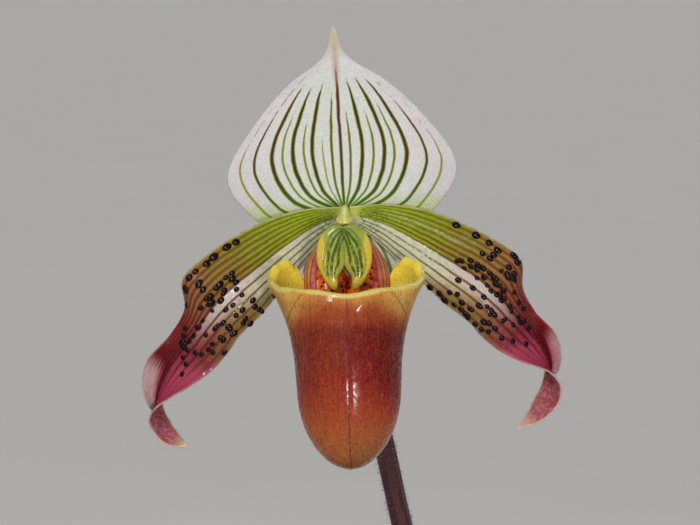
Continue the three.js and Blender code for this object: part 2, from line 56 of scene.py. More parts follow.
# %% Frames
MM = 0.001
BLOOM_PLACE = np.array([-15.0, -36.0, 292.0])
LOOK_UP, ROLL = -6.0, -3.5
HANG_SHIFT, HANG_ROLL = np.array([-0.35, 0.0, 0.0]), 2.1


def turning(axis, degrees):
    return np.array(Matrix.Rotation(math.radians(degrees), 3, axis))


BLOOM_TURN = turning("X", LOOK_UP) @ turning("Y", ROLL)
HANG_TURN = turning("Y", HANG_ROLL)


def on_plant(points):
    """From the bloom's frame to the plant's."""
    return points @ BLOOM_TURN.T + BLOOM_PLACE


def hung(points):
    """From the frame of the slipper and column to the plant's."""
    return on_plant(points @ HANG_TURN.T + HANG_SHIFT)


print("the organs meet at", BLOOM_PLACE, "mm")

# %% [markdown]
# ## Camera
#
# The picture is a portrait of the bloom, taken from straight in front with a long lens, so nothing is
# stretched towards the viewer. A lens of 154 mm at half a metre gives six picture points for each
# millimetre. The camera looks down by as much as the bloom looks up.

# %% Camera
LOOK_DOWN = 6.0
LENS, DISTANCE = 154.3, 500.0
AIM_RIGHT, AIM_DOWN = 0.5, 8.25

tilt = math.radians(LOOK_DOWN)
sight = np.array([0, math.cos(tilt), -math.sin(tilt)])
camera_up = np.array([0, math.sin(tilt), math.cos(tilt)])
aim = BLOOM_PLACE + AIM_RIGHT * np.array([1.0, 0, 0]) - AIM_DOWN * camera_up

camera = bpy.data.objects.new("portrait_camera", bpy.data.cameras.new("portrait_camera"))
camera.data.lens = LENS
camera.data.clip_start, camera.data.clip_end = 0.02, 200
camera.location = (aim - DISTANCE * sight) * MM
camera.rotation_euler = (math.radians(90 - LOOK_DOWN), 0, 0)
bpy.context.collection.objects.link(camera)
bpy.context.scene.camera = camera
print("camera at", [round(v, 3) for v in camera.location])

# %% [markdown]
# ## Light
#
# A flower has many small glossy places, such as warts and the toe of the slipper, and each of them shows
# the light as a spark. So the plant gets two kinds of light: a broad soft sun and a pale sky for the
# colours, and one small panel near the camera for the sparks. A panel behind lights the margins.

# %% Lights
SKY = (0.94, 0.95, 0.97, 1.0)


def lamp(name, kind, place, energy, size, color=(1, 1, 1), target=BLOOM_PLACE):
    """A light at place, in millimetres, that looks at the bloom. size is a width, or an angle for a sun."""
    data = bpy.data.lights.new(name, kind)
    data.energy, data.color = energy, color
    if kind == "SUN":
        data.angle = math.radians(size)
    else:
        data.size = size * MM
    lamp_object = bpy.data.objects.new(name, data)
    place, target = np.array(place, float), np.array(target, float)
    lamp_object.rotation_euler = Vector(target - place).to_track_quat("-Z", "Y").to_euler()
    lamp_object.location = place * MM
    lamp_object.visible_camera = False
    bpy.context.collection.objects.link(lamp_object)


lamp("soft_sun", "SUN", (-600, -1700, 1500), 1.28, 16, (1.0, 0.98, 0.95))
lamp("spark_panel", "AREA", (105, -640, 285), 1.0, 70, (1.0, 0.99, 0.97))
lamp("margin_panel", "AREA", (520, 700, 640), 2.2, 300, (0.96, 0.98, 1.0))

world = bpy.data.worlds.new("pale_room")
world.use_nodes = True
world.node_tree.nodes["Background"].inputs["Color"].default_value = SKY
world.node_tree.nodes["Background"].inputs["Strength"].default_value = 0.32
bpy.context.scene.world = world
bpy.context.scene.view_settings.view_transform = "Standard"

# %% [markdown]
# ## Curves through a few numbers
#
# An organ is described by a few stations from its base to its tip, as a maker notes the width of a blade
# every few millimetres. A smooth curve through the stations gives any place between them. The solid
# model uses the same stations and the same curve, so both agree.


# %% Curves
def through(rows, t):
    """The smooth curve through rows of numbers, at t from 0 to 1."""
    rows = np.asarray(rows, float)
    last = len(rows) - 1
    at = np.clip(np.asarray(t, float), 0, 1) * last
    i = np.minimum(at.astype(int), last - 1)
    f = (at - i)[..., None]
    longer = np.vstack([2 * rows[0] - rows[1], rows, 2 * rows[-1] - rows[-2]])
    before, p, q, after = (longer[i + k] for k in range(4))
    leave, arrive = (q - before) / 2, (after - p) / 2
    return p + leave * f + (3 * (q - p) - 2 * leave - arrive) * f**2 + (2 * (p - q) + leave + arrive) * f**3


def mix(a, b, t):
    return a + (b - a) * t


def smooth(t):
    t = np.clip(t, 0, 1)
    return t * t * (3 - 2 * t)


def unit(v):
    return v / np.maximum(np.linalg.norm(v, axis=-1, keepdims=True), 1e-9)


print("half way through 0, 1, 4:", through([[0], [1], [4]], 0.5))

# %% [markdown]
# ## Forms
#
# A piece is gathered part by part: a blade, its warts, its hairs. Each part brings points, faces, and
# marks, which are numbers painted on the points, such as how far across and how far along the blade a
# point lies. The paint reads the marks later, so a vein can follow the blade however it bends. A closed
# part knows its volume, and a negative volume says that its faces look inward and have to be turned.


# %% Form
class Form:
    """A piece in the making, in millimetres."""

    def __init__(self):
        self.points, self.faces, self.finishes, self.marks = [], [], [], []
        self.count = 0

    def add(self, points, faces, marks=None, finish=0):
        points = np.asarray(points, float).reshape(-1, 3)
        volume = 0.0
        centre = points.mean(axis=0)
        for block in faces:
            corner = points[block] - centre
            for k in range(1, block.shape[1] - 1):
                volume += np.einsum("ij,ij->", corner[:, 0], np.cross(corner[:, k], corner[:, k + 1]))
        for block in faces:
            self.faces.append((block if volume > 0 else block[:, ::-1]) + self.count)
            self.finishes.append(np.full(len(block), finish))
        self.points.append(points)
        self.marks.append({key: np.broadcast_to(value, len(points)) for key, value in (marks or {}).items()})
        self.count += len(points)

    def build(self, name, materials, node, slot):
        """Makes the Blender object, which stands for one node of the solid model."""
        sizes = np.concatenate([np.full(len(block), block.shape[1]) for block in self.faces])
        corners = np.concatenate([block.ravel() for block in self.faces])
        mesh = bpy.data.meshes.new(name)
        mesh.vertices.add(self.count)
        mesh.vertices.foreach_set("co", (np.vstack(self.points) * MM).astype(np.float32).ravel())
        mesh.loops.add(len(corners))
        mesh.loops.foreach_set("vertex_index", corners.astype(np.int32))
        mesh.polygons.add(len(sizes))
        mesh.polygons.foreach_set("loop_start", (np.cumsum(sizes) - sizes).astype(np.int32))
        mesh.polygons.foreach_set("material_index", np.concatenate(self.finishes).astype(np.int32))
        mesh.update(calc_edges=True)
        for key in sorted(set().union(*self.marks)):
            values = [part.get(key, np.zeros(len(p))) for part, p in zip(self.marks, self.points)]
            mark = mesh.attributes.new(key, "FLOAT", "POINT")
            mark.data.foreach_set("value", np.concatenate(values).astype(np.float32))
        mesh.shade_smooth()
        for material in materials:
            mesh.materials.append(material)
        piece = bpy.data.objects.new(name, mesh)
        bpy.context.collection.objects.link(piece)
        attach(piece, "root")
        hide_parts(node)
        print(name, "has", int((sizes - 2).sum()), "triangles and stands for", node)
        return piece


# %% [markdown]
# ## Skins, blades and stems
#
# Three shapes make almost every organ. A **skin** is stretched over rings, like a sock. A **stem** is a
# skin whose rings stand square on a line. A **blade** is a bent sheet with two faces: the points of the
# sheet are moved out along its normal to both sides, less and less towards the margin, so that the edge
# is round and not cut off. A leaf, a petal and a sepal are blades.


# %% Skins and stems
# A short way along a line or a surface, as a share of its length. Two points that far apart tell a direction.
STEP = 1e-3


def squares(place):
    """The squares between rows of numbered points, where each row closes to a ring."""
    following = np.roll(place, -1, axis=1)
    return np.stack([place[:-1], following[:-1], following[1:], place[1:]], axis=-1).reshape(-1, 4)


def skin(rings, marks=None):
    """A closed skin over rings of equally many points, with a pole at each end."""
    count, sides = rings.shape[:2]
    place = np.arange(count * sides).reshape(count, sides)
    first, last = count * sides, count * sides + 1
    start = np.stack([np.full(sides, first), np.roll(place[0], -1), place[0]], axis=-1)
    end = np.stack([np.full(sides, last), place[-1], np.roll(place[-1], -1)], axis=-1)
    points = np.vstack([rings.reshape(-1, 3), rings[0].mean(axis=0), rings[-1].mean(axis=0)])
    closed = {
        key: np.concatenate([value.ravel(), [value[0].mean(), value[-1].mean()]])
        for key, value in (marks or {}).items()
    }
    return points, [squares(place), start, end], closed


def stem_frame(line, t):
    """The middle of a stem at t, and two directions square to it. The first keeps close to +X."""
    at = through(line, t)
    along = unit(through(line, np.minimum(t + STEP, 1)) - through(line, np.maximum(t - STEP, 0)))
    side = unit(np.array([1.0, 0, 0]) - along * along[..., :1])
    return at, along, side, np.cross(along, side)


def along_and_round(rows, sides):
    """A grid of places from 0 to 1 along, and of angles round."""
    return np.meshgrid(np.linspace(0, 1, rows), np.arange(sides) * 2 * math.pi / sides, indexing="ij")


def stem(line, sides, steps, radius):
    """A round stem along a line, with radius(t, angle)."""
    t, angle = along_and_round(steps + 1, sides)
    at, _, side, up = stem_frame(line, t)
    r = radius(t, angle)
    rings = at + side * (r * np.cos(angle))[..., None] + up * (r * np.sin(angle))[..., None]
    return skin(rings, {"along": t, "round": angle / math.pi})


pencil = stem([[0, 0, 0], [0, 0, 1]], 6, 2, lambda t, angle: 1 + 0 * t)
print("a stem of 6 sides and 2 steps has", len(pencil[0]), "points")


# %% Blades
def no_relief(u, t):
    return 0 * u


def blade(surface, across, along, thickness, facing, front=no_relief, back=no_relief, roundness=12):
    """A bent sheet with a rounded margin. u runs from -1 to 1 across and t from 0 to 1 along."""
    s = np.linspace(-1, 1, across + 1)
    u, t = np.meshgrid((s + np.sin(s * math.pi / 2)) / 2, np.linspace(0, 1, along + 1))
    middle = surface(u, t)
    side = surface(np.minimum(u + STEP, 1), t) - surface(np.maximum(u - STEP, -1), t)
    ahead = surface(u, np.minimum(t + STEP, 1)) - surface(u, np.maximum(t - STEP, 0))
    normal = unit(np.cross(side, ahead))
    if (normal[: along // 3] @ np.array(facing, float)).mean() < 0:
        normal = -normal
    swell = np.sqrt(np.clip(1 - np.abs(u) ** roundness, 0, 1)) * np.sqrt(np.clip(1.02 - t**40, 0.02, 1))
    half = thickness(u, t) / 2
    upper = middle + normal * (swell * (half + front(u, t)))[..., None]
    lower = middle - normal * (swell * (half + back(u, t)))[..., None]
    ring = np.concatenate([upper, lower[:, -2:0:-1]], axis=1)
    wide = np.linalg.norm(np.diff(middle, axis=1), axis=-1).sum(axis=1, keepdims=True) / 2
    spine = middle[:, across // 2]
    far = np.concatenate([[0], np.cumsum(np.linalg.norm(np.diff(spine, axis=0), axis=-1))])[:, None]
    both = {
        "across": (u, u), "along": (t, t), "wide": (wide + 0 * u,) * 2, "far": (far + 0 * u,) * 2,
        "back": (0 * u, 0 * u + 1)}
    marks = {key: np.concatenate([a, b[:, -2:0:-1]], axis=1).ravel() for key, (a, b) in both.items()}
    sides = 2 * across
    place = np.arange((along + 1) * sides).reshape(along + 1, sides)
    j = np.arange(1, across - 1)
    ends = []
    for row, turned in ((place[0], False), (place[-1], True)):
        ladder = np.stack([row[j + 1], row[j], row[sides - j], row[sides - j - 1]], axis=-1)
        corners = row[[[1, 0, sides - 1], [across, across - 1, across + 1]]]
        ends += [ladder[:, ::-1], corners[:, ::-1]] if turned else [ladder, corners]
    return ring.reshape(-1, 3), [squares(place), *ends], marks


# %% [markdown]
# ## Hairs and warts
#
# The stem, the ovary and the margins of the petals are hairy, and the petals carry glossy warts. A hair
# is a real mesh here: a slim three-sided spike in two joints, so that it can droop. A wart is a small
# dome that is sunk into the petal. Both are made for all places at once.


# %% Hairs and domes
def hairs(roots, ways, lengths, width, droop=(0, 0, -0.25)):
    """Three-sided spikes from roots along ways, in millimetres."""
    count = len(roots)
    side = unit(np.cross(ways, [0.31, 0.47, 0.83]))
    up = np.cross(ways, side)
    angle = np.arange(3) * 2 * math.pi / 3
    ring = side[:, None] * np.cos(angle)[:, None] + up[:, None] * np.sin(angle)[:, None]
    reach = lengths[:, None]
    bend = np.array(droop) * reach
    middle = roots + ways * reach * 0.55 + bend * 0.3
    tip = roots + ways * reach + bend
    points = np.concatenate([
        roots[:, None] + ring * width / 2, middle[:, None] + ring * width / 3, tip[:, None]], axis=1)
    pattern = np.array([
        [0, 2, 1], [0, 1, 4], [0, 4, 3], [1, 2, 5], [1, 5, 4],
        [2, 0, 3], [2, 3, 5], [3, 4, 6], [4, 5, 6], [5, 3, 6]])
    faces = (np.arange(count)[:, None, None] * 7 + pattern).reshape(-1, 3)
    return points.reshape(-1, 3), [faces]


def dome(at, normal, along, long, wide, tall, rings=7, sides=14):
    """A closed ellipsoid on a surface: its middle is a little above at."""
    across = unit(np.cross(normal, along))
    along = np.cross(across, normal)
    lean, angle = np.meshgrid(
        np.linspace(0, math.pi, rings + 2)[1:-1], np.arange(sides) * 2 * math.pi / sides, indexing="ij")
    part = lambda way, size, share: way * (size * share)[..., None]
    points = (at + normal * tall * 0.25
              + part(along, long, np.sin(lean) * np.cos(angle))
              + part(across, wide, np.sin(lean) * np.sin(angle))
              + part(normal, tall, np.cos(lean)))
    return skin(points, {"height": np.cos(lean)})


one_hair = hairs(np.zeros((1, 3)), np.array([[0, 0, 1.0]]), np.ones(1), 0.1)
print("one hair has", len(one_hair[1][0]), "triangles")

# %% [markdown]
# ## Paint
#
# A material is a small network of nodes. Most of the lines that build one only create a node and plug it
# in, so a helper does that in one call. A value can be a number, a colour, or a **wire**, which is the
# output of another node. Sums and products of wires place math nodes, so a mask reads like a formula.
# Colours are given as the everyday values from 0 to 255 and turned into the linear values of the shader.


# %% Paint helpers
def tint(red, green, blue):
    """A colour of the shader from everyday values of 0 to 255."""
    shares = np.array([red, green, blue]) / 255
    return (*np.where(shares <= 0.04045, shares / 12.92, ((shares + 0.055) / 1.055) ** 2.4), 1.0)


def arithmetic(operation, turned=False):
    """A method that places the math node for one kind of sum."""

    def method(self, other):
        return self.nodes.math(operation, *((other, self) if turned else (self, other)))

    return method


class Wire:
    """The output of a node."""

    def __init__(self, nodes, socket):
        self.nodes, self.socket = nodes, socket

    def __abs__(self):
        return self.nodes.math("ABSOLUTE", self)

    __add__, __radd__ = arithmetic("ADD"), arithmetic("ADD", turned=True)
    __sub__, __rsub__ = arithmetic("SUBTRACT"), arithmetic("SUBTRACT", turned=True)
    __mul__, __rmul__ = arithmetic("MULTIPLY"), arithmetic("MULTIPLY", turned=True)
    __truediv__, __rtruediv__ = arithmetic("DIVIDE"), arithmetic("DIVIDE", turned=True)
    __pow__ = arithmetic("POWER")


class Nodes:
    """Adds nodes to a tree, one in each call."""

    def __init__(self, tree):
        self.tree = tree

    def plug(self, value, socket):
        if isinstance(value, Wire):
            self.tree.links.new(value.socket, socket)
        else:
            socket.default_value = value

    def add(self, kind, inputs, output=0, **settings):
        node = self.tree.nodes.new(kind)
        for key, value in settings.items():
            setattr(node, key, value)
        for key, value in inputs.items():
            self.plug(value, node.inputs[key])
        return Wire(self, node.outputs[output])

    def every(self, wire):
        """All outputs of the node that a wire comes from."""
        return [Wire(self, socket) for socket in wire.socket.node.outputs]

    def math(self, operation, *values):
        return self.add("ShaderNodeMath", dict(enumerate(values)), operation=operation)

    def mixed(self, share, a, b):
        """Colour a at share 0 and colour b at share 1."""
        return self.add("ShaderNodeMix", {0: share, 6: a, 7: b}, 2, data_type="RGBA")

    def between(self, share, a, b):
        """Number a at share 0 and number b at share 1."""
        return self.add("ShaderNodeMix", {0: share, 2: a, 3: b}, 0, data_type="FLOAT")

    def ease(self, value, low, high):
        """0 where value is below low, 1 above high, and smooth between. It also runs downward."""
        return self.add(
            "ShaderNodeMapRange", {"Value": value, "From Min": low, "From Max": high},
            interpolation_type="SMOOTHSTEP")

    def ramp(self, value, stops, interpolation="LINEAR"):
        """A colour from value, through stops of (place, colour)."""
        wire = self.add("ShaderNodeValToRGB", {0: value})
        ramp = wire.socket.node.color_ramp
        ramp.interpolation = interpolation
        while len(ramp.elements) < len(stops):
            ramp.elements.new(1.0)
        for element, (place, color) in zip(ramp.elements, stops):
            element.position = place
            element.color = color
        return wire

    def noise(self, scale, detail=3.0, vector=None, rough=0.5, warp=0.0):
        inputs = {"Scale": scale, "Detail": detail, "Roughness": rough, "Distortion": warp}
        return self.add("ShaderNodeTexNoise", {**inputs, "Vector": vector or self.place()})

    def cells(self, scale, output="Distance", vector=None, chaos=1.0):
        inputs = {"Scale": scale, "Vector": vector or self.place(), "Randomness": chaos}
        return self.add("ShaderNodeTexVoronoi", inputs, output)

    def place(self):
        """Where a point is, in metres."""
        return self.add("ShaderNodeTexCoord", {}, "Object")

    def joined(self, x, y, z=0.0):
        return self.add("ShaderNodeCombineXYZ", {0: x, 1: y, 2: z})

    def mark(self, name):
        """A number painted on the points."""
        return self.add("ShaderNodeAttribute", {}, "Fac", attribute_name=name)

    def marks(self, *names):
        return [self.mark(name) for name in names]

    def use(self, group, inputs):
        """A shader node group with its own values. Gives all its outputs, or the only one."""
        wires = self.every(self.add("ShaderNodeGroup", inputs, node_tree=group))
        return wires if len(wires) > 1 else wires[0]


class Paint(Nodes):
    """A material. Values that are the same all over go straight on the shader's own sockets."""

    def __init__(self, name, **fixed):
        self.material = bpy.data.materials.new(name)
        self.material.use_nodes = True
        super().__init__(self.material.node_tree)
        self.shader = self.tree.nodes["Principled BSDF"]
        for key, value in fixed.items():
            self.shader.inputs[key.replace("_", " ").title().replace("Ior", "IOR")].default_value = value

    def cover(self, color, roughness, height=None, depth=0.1, coat=None):
        """Plugs in colour, roughness, gloss coat, and a height whose full range is depth, in millimetres."""
        bump = None
        if height is not None:
            bump = self.add("ShaderNodeBump", {"Height": height, "Distance": depth * MM, "Strength": 1.0})
        given = {"Base Color": color, "Roughness": roughness, "Coat Weight": coat, "Normal": bump}
        for key, value in given.items():
            if value is not None:
                self.plug(value, self.shader.inputs[key])
        return self.material


def shared(name, inputs, outputs):
    """A new shader node group with named sockets, a helper that fills it, its inputs and its outputs."""
    group = bpy.data.node_groups.new(name, "ShaderNodeTree")
    kinds = {"number": "NodeSocketFloat", "colour": "NodeSocketColor"}
    for socket, (kind, value) in inputs.items():
        made = group.interface.new_socket(socket, in_out="INPUT", socket_type=kinds[kind])
        made.default_value = value
    for socket, kind in outputs.items():
        group.interface.new_socket(socket, in_out="OUTPUT", socket_type=kinds[kind])
    start, end = group.nodes.new("NodeGroupInput"), group.nodes.new("NodeGroupOutput")
    net = Nodes(group)
    given = {socket.name: Wire(net, socket) for socket in start.outputs if socket.name}
    return group, net, given, end.inputs


print("mid grey is", round(tint(128, 128, 128)[0], 3), "in the shader")

# %% [markdown]
# ## Effects that several organs share
#
# Four effects come back on nearly every organ, so each is one node group that the materials use with
# their own values.
#
# - **Vein line**: how strongly a point belongs to the nearest vein. It compares where the point and the
#   vein lie across the blade, in real millimetres, so a vein keeps its width where the blade narrows.
# - **Margin band**: the pale rim of a petal or leaf.
# - **Living tissue**: the skin of a petal is made of tiny domed cells. They give it a fine grain and
#   sparkle a little, each cell by its own amount.
# - **Uneven colour**: a plant never has one flat colour, so this one lightens and darkens it in clouds.

# %% Vein line group
vein_line, net, given, out = shared(
    "Vein line",
    {"Across": ("number", 0.0), "Half Width": ("number", 10.0), "Place": ("number", 0.0),
     "Line Width": ("number", 0.5), "Softness": ("number", 0.15), "Waver": ("number", 0.2)},
    {"Line": "number", "Core": "number"})
waver = (net.noise(330.0, 2.0) - 0.5) * given["Waver"]
apart = abs((given["Across"] - given["Place"]) * given["Half Width"] + waver)
half_line = given["Line Width"] * 0.5
net.plug(net.ease(apart, half_line + given["Softness"], half_line), out["Line"])
net.plug(net.ease(apart, half_line * 1.1, half_line * 0.45), out["Core"])

# %% Margin band group
margin_band, net, given, out = shared(
    "Margin band",
    {"Across": ("number", 0.0), "Half Width": ("number", 10.0), "Band": ("number", 1.0)},
    {"Band": "number"})
inside = (1.0 - abs(given["Across"])) * given["Half Width"]
inside = inside + (net.noise(500.0, 2.0) - 0.5) * given["Band"]
net.plug(net.ease(inside, given["Band"], 0.0), out["Band"])

# %% Living tissue group
living_tissue, net, given, out = shared(
    "Living tissue", {"Cell Size": ("number", 0.12)}, {"Height": "number", "Sparkle": "number"})
cell_scale = 1000.0 / given["Cell Size"]
net.plug(1.0 - net.cells(cell_scale), out["Height"])
which = net.add("ShaderNodeSeparateColor", {0: net.cells(cell_scale, "Color")})
net.plug(net.ease(which, 0.72, 1.0), out["Sparkle"])

# %% Uneven colour group
uneven, net, given, out = shared(
    "Uneven colour",
    {"Color": ("colour", (1, 1, 1, 1)), "Cloud Size": ("number", 5.0), "Amount": ("number", 0.2)},
    {"Color": "colour"})
cloud = net.noise(1000.0 / given["Cloud Size"], 4.0)
gain = 1.0 + (cloud - 0.5) * given["Amount"] * 2.0
net.plug(net.add("ShaderNodeHueSaturation", {"Value": gain, "Color": given["Color"]}), out["Color"])


# %% Short names for two groups
def clouded(paint, colour, cloud_size, amount):
    """The colour, lighter and darker in clouds of a size in millimetres."""
    return paint.use(uneven, {"Color": colour, "Cloud Size": cloud_size, "Amount": amount})


def tissue(paint, cell_size):
    """The height and the sparkle of living tissue, with cells of a size in millimetres."""
    return paint.use(living_tissue, {"Cell Size": cell_size})


print("groups:", sorted(g.name for g in bpy.data.node_groups))

# %% [markdown]
# ## The dorsal sepal
#
# The tall hood at the top of the bloom: white, almost round, with a slim tip, and green veins that leave
# the base as a fan and close again upwards. The veins differ: thick ones alternate with thin ones, and the
# outermost turn maroon. A list says for each vein where it lies across the blade, its width, the height
# at which it fades, and how red it is. The mesh gets a low ridge along each vein, and the paint finds the
# same vein through a mark that counts the veins from left to right.

# %% Dorsal sepal shape
DORSAL_ROWS = [
    (1.9, 0.6, 0.6), (5.2, -1.3, 1.7), (9.4, -2.3, 3.0), (13.6, -1.3, 4.4), (16.6, 1.5, 6.3),
    (18.7, 4.4, 8.9), (19.3, 7.2, 11.4), (18.2, 10.2, 14.0), (15.5, 14.0, 17.0), (11.6, 18.6, 20.4),
    (7.6, 22.2, 23.0), (3.0, 25.2, 25.4), (1.15, 27.6, 27.7), (0.25, 31.2, 31.2)]
DORSAL_SHIFT, DORSAL_DEPTH, SWEEP_BACK, HOOD = -0.4, 2.15, 2.6, 4.2
# Place across, width in millimetres, height where it ends, share of red.
DORSAL_VEINS = [
    (-0.884, 0.28, 11.5, 0.8), (-0.758, 0.45, 16.5, 0.9), (-0.60, 0.72, 20.5, 0.45),
    (-0.507, 0.32, 16.4, 0.0), (-0.417, 0.72, 20.2, 0.1), (-0.32, 0.34, 14.6, 0.0),
    (-0.246, 0.66, 20.8, 0.05), (-0.155, 0.22, 12.0, 0.0), (-0.078, 0.40, 19.0, 0.05),
    (0.0, 0.52, 23.6, 0.9), (0.083, 0.38, 16.2, 0.15), (0.186, 0.66, 21.2, 0.05), (0.283, 0.36, 15.8, 0.0),
    (0.378, 0.72, 21.6, 0.1), (0.464, 0.36, 17.2, 0.0), (0.567, 0.70, 21.2, 0.5), (0.739, 0.46, 17.4, 0.9),
    (0.868, 0.28, 11.6, 0.8)]


def dorsal_surface(u, t):
    half, margin, vein = np.moveaxis(through(DORSAL_ROWS, t), -1, 0)
    sweep = SWEEP_BACK * u * u * np.sin(math.pi * np.minimum(t * 1.25, 1)) * smooth(t / 0.3)
    hood = HOOD * smooth((t - 0.25) / 0.75) ** 1.5
    ripple = 0.22 * np.abs(u) ** 3 * np.sin(15 * t + 2.2 * u)
    x, y = half * u + DORSAL_SHIFT, DORSAL_DEPTH + sweep - hood + ripple
    return np.stack([x, y, mix(vein, margin, u * u)], axis=-1)


def ridges(veins, height):
    """A low ridge along each vein, as a function of the place on the blade."""
    places = np.array([vein[0] for vein in veins])
    widths = np.array([vein[1] for vein in veins])

    def relief(u, t):
        apart = np.abs(u[..., None] - places)
        nearest = apart.argmin(axis=-1)
        near = np.take_along_axis(apart, nearest[..., None], -1)[..., 0]
        return height * widths[nearest] / widths.max() * np.exp(-((near / 0.03) ** 2)) * (1 - 0.8 * t)

    return relief


def vein_count(across, veins):
    """Counts the veins from left to right: each vein is a whole number, and between two it runs evenly."""
    return np.interp(across, [vein[0] for vein in veins], np.arange(len(veins)))


FORWARD = (0, -1, 0)


def veined_blade(surface, grid, thickness, veins, heights):
    """A blade that faces the viewer, with ridges of two heights on its veins, in front and behind."""
    points, faces, marks = blade(
        surface, *grid, thickness, FORWARD, *(ridges(veins, height) for height in heights))
    marks["vein"] = vein_count(marks["across"], veins)
    return points, faces, marks


# Squares across and along, thickness at the margin, how far a vein stands out in front and behind.
DORSAL_GRID, DORSAL_THICK, DORSAL_RIDGES = (150, 170), 0.5, (0.07, 0.12)


def dorsal_thickness(u, t):
    return DORSAL_THICK * (1 + 0.6 * (1 - u * u) * (1 - t))


sepal = Form()
points, faces, marks = veined_blade(
    dorsal_surface, DORSAL_GRID, dorsal_thickness, DORSAL_VEINS, DORSAL_RIDGES)
marks["rise"] = points[:, 2]
sepal.add(on_plant(points), faces, marks)

# %% [markdown]
# ### Its paint
#
# The veins' list becomes a colour ramp with one step for each vein. A step has room for four numbers:
# red holds the width, green the height where the vein ends, blue its share of red, and alpha its place.
# So one ramp, read at the number of the nearest vein, tells the paint all that it needs.


# %% Vein table
def vein_table(paint, veins, scales):
    """Reads a list of veins at the nearest one, and gives place, width, end and redness.

    A colour holds 0 to 1 only, so the end is kept as (end + shift) / span, with scales as (span, shift).
    """
    span, shift = scales
    step = (paint.math("ROUND", paint.mark("vein")) + 0.5) / float(len(veins))
    stops = [
        (i / len(veins), (width, (end + shift) / span, red, (place + 1) / 2))
        for i, (place, width, end, red) in enumerate(veins)]
    table, place_share = paint.every(paint.ramp(step, stops, interpolation="CONSTANT"))
    width, end_share, red = paint.every(paint.add("ShaderNodeSeparateColor", {0: table}))
    return place_share * 2.0 - 1.0, width, end_share * span - shift, red


def veined(paint, place, width, softness, waver):
    """How strongly a point belongs to the vein at place: the whole line, and its core."""
    across, wide = paint.marks("across", "wide")
    return paint.use(vein_line, {
        "Across": across, "Half Width": wide, "Place": place, "Line Width": width, "Softness": softness,
        "Waver": waver})


# %% Dorsal sepal paint
paint = Paint("sepal_white_veined", specular_ior_level=0.2)
across, wide, rise, along = paint.marks("across", "wide", "rise", "along")
place, width, end, red = vein_table(paint, DORSAL_VEINS, (30.0, 0.0))
ragged = end + (paint.noise(900.0) - 0.2) * 2.4
thinned = width * paint.between(paint.ease(rise, ragged, ragged - 5.0), 0.4, 1.0)
reach = paint.ease(rise, ragged + 0.8, ragged - 1.4)
whole_line, core = veined(paint, place, thinned, 0.13, 0.35)
line = whole_line * reach
core = core * reach

flank = paint.ease(abs(across), 0.45, 1.0)
ground = paint.mixed(flank, tint(222, 225, 219), tint(220, 213, 216))
ground = paint.mixed(paint.ease(rise, 3.5, 0.0), ground, tint(196, 208, 150))
ground = paint.mixed(paint.ease(along, 0.84, 0.95), ground, tint(206, 192, 166))
speckle = paint.ease(paint.noise(4200.0, 2.0), 0.42, 0.68)
ground = paint.mixed(speckle * 0.34, ground, tint(164, 166, 176))
ground = clouded(paint, ground, 1.6, 0.08)
# Beyond its end a red vein runs on towards the tip as a row of pink dashes.
beyond = paint.ease(rise, end, end + 1.0) * paint.ease(rise, end + 7.5, end + 5.0)
dashes = paint.ease(paint.noise(620.0, 2.0), 0.47, 0.56) * beyond * paint.ease(red, 0.6, 0.8)
ground = paint.mixed(dashes * whole_line * 0.75, ground, tint(176, 98, 122))
low = paint.ease(rise, 8.0, 1.5)
green = paint.mixed(low, tint(150, 160, 14), tint(132, 162, 0))
dark = paint.mixed(low, tint(54, 54, 0), tint(64, 92, 0))
redness = red * paint.ease(rise, 4.0, 15.0)
green = paint.mixed(redness, green, tint(150, 112, 78))
dark = paint.mixed(redness, dark, tint(88, 40, 26))
strong = core * paint.ease(width, 0.18, 0.5)
colour = paint.mixed(line * 0.92, ground, green)
colour = paint.mixed(strong, colour, dark)
# A tan streak leads from the middle vein into the tip.
streak = paint.ease(abs(across * wide), 0.9, 0.1)
streak = streak * paint.ease(rise, 20.0, 24.0) * paint.ease(rise, 30.0, 25.0)
colour = paint.mixed(streak * 0.6, colour, tint(186, 142, 120))
colour = paint.mixed(paint.mark("back") * 0.45, colour, tint(188, 196, 150))
grain, sparkle = tissue(paint, 0.16)
SEPAL_WHITE = paint.cover(colour, paint.between(sparkle, 0.55, 0.3), grain, 0.045)
sepal.build("sepal_dorsal_blade", [SEPAL_WHITE], "dorsal_sepal", "sepal")

# %% [markdown]
# ## The lower sepal
#
# Two sepals have grown into one behind the slipper. From the front only two slivers of it show, but from
# the side and from behind it is a whole green-striped white spoon. It is a plain blade with even veins.

# %% Lower sepal
LOWER_ROWS = [
    (1.8, -0.4), (4.4, -3.0), (7.2, -7.2), (8.3, -11.6), (7.2, -16.2), (4.4, -20.4), (1.8, -22.9),
    (0.3, -24.4)]
LOWER_DEPTH, LOWER_CLASP, LOWER_CUP = 3.3, 5.4, 1.6
LOWER_VEINS = [(place, 0.42, -20.0, 0.0) for place in np.linspace(-0.84, 0.84, 9)]


def lower_surface(u, t):
    half, z = np.moveaxis(through(LOWER_ROWS, t), -1, 0)
    y = LOWER_DEPTH - LOWER_CLASP * t**2 - LOWER_CUP * u * u * np.sin(math.pi * t)
    return np.stack([half * u, y + 0.15 * np.abs(u) ** 3 * np.sin(14 * t + u), z], axis=-1)


LOWER_GRID, LOWER_THICK, LOWER_RIDGES = (72, 90), 0.55, (0.06, 0.12)

lower = Form()
points, faces, marks = veined_blade(
    lower_surface, LOWER_GRID, lambda u, t: LOWER_THICK + 0 * u, LOWER_VEINS, LOWER_RIDGES)
lower.add(on_plant(points), faces, marks)

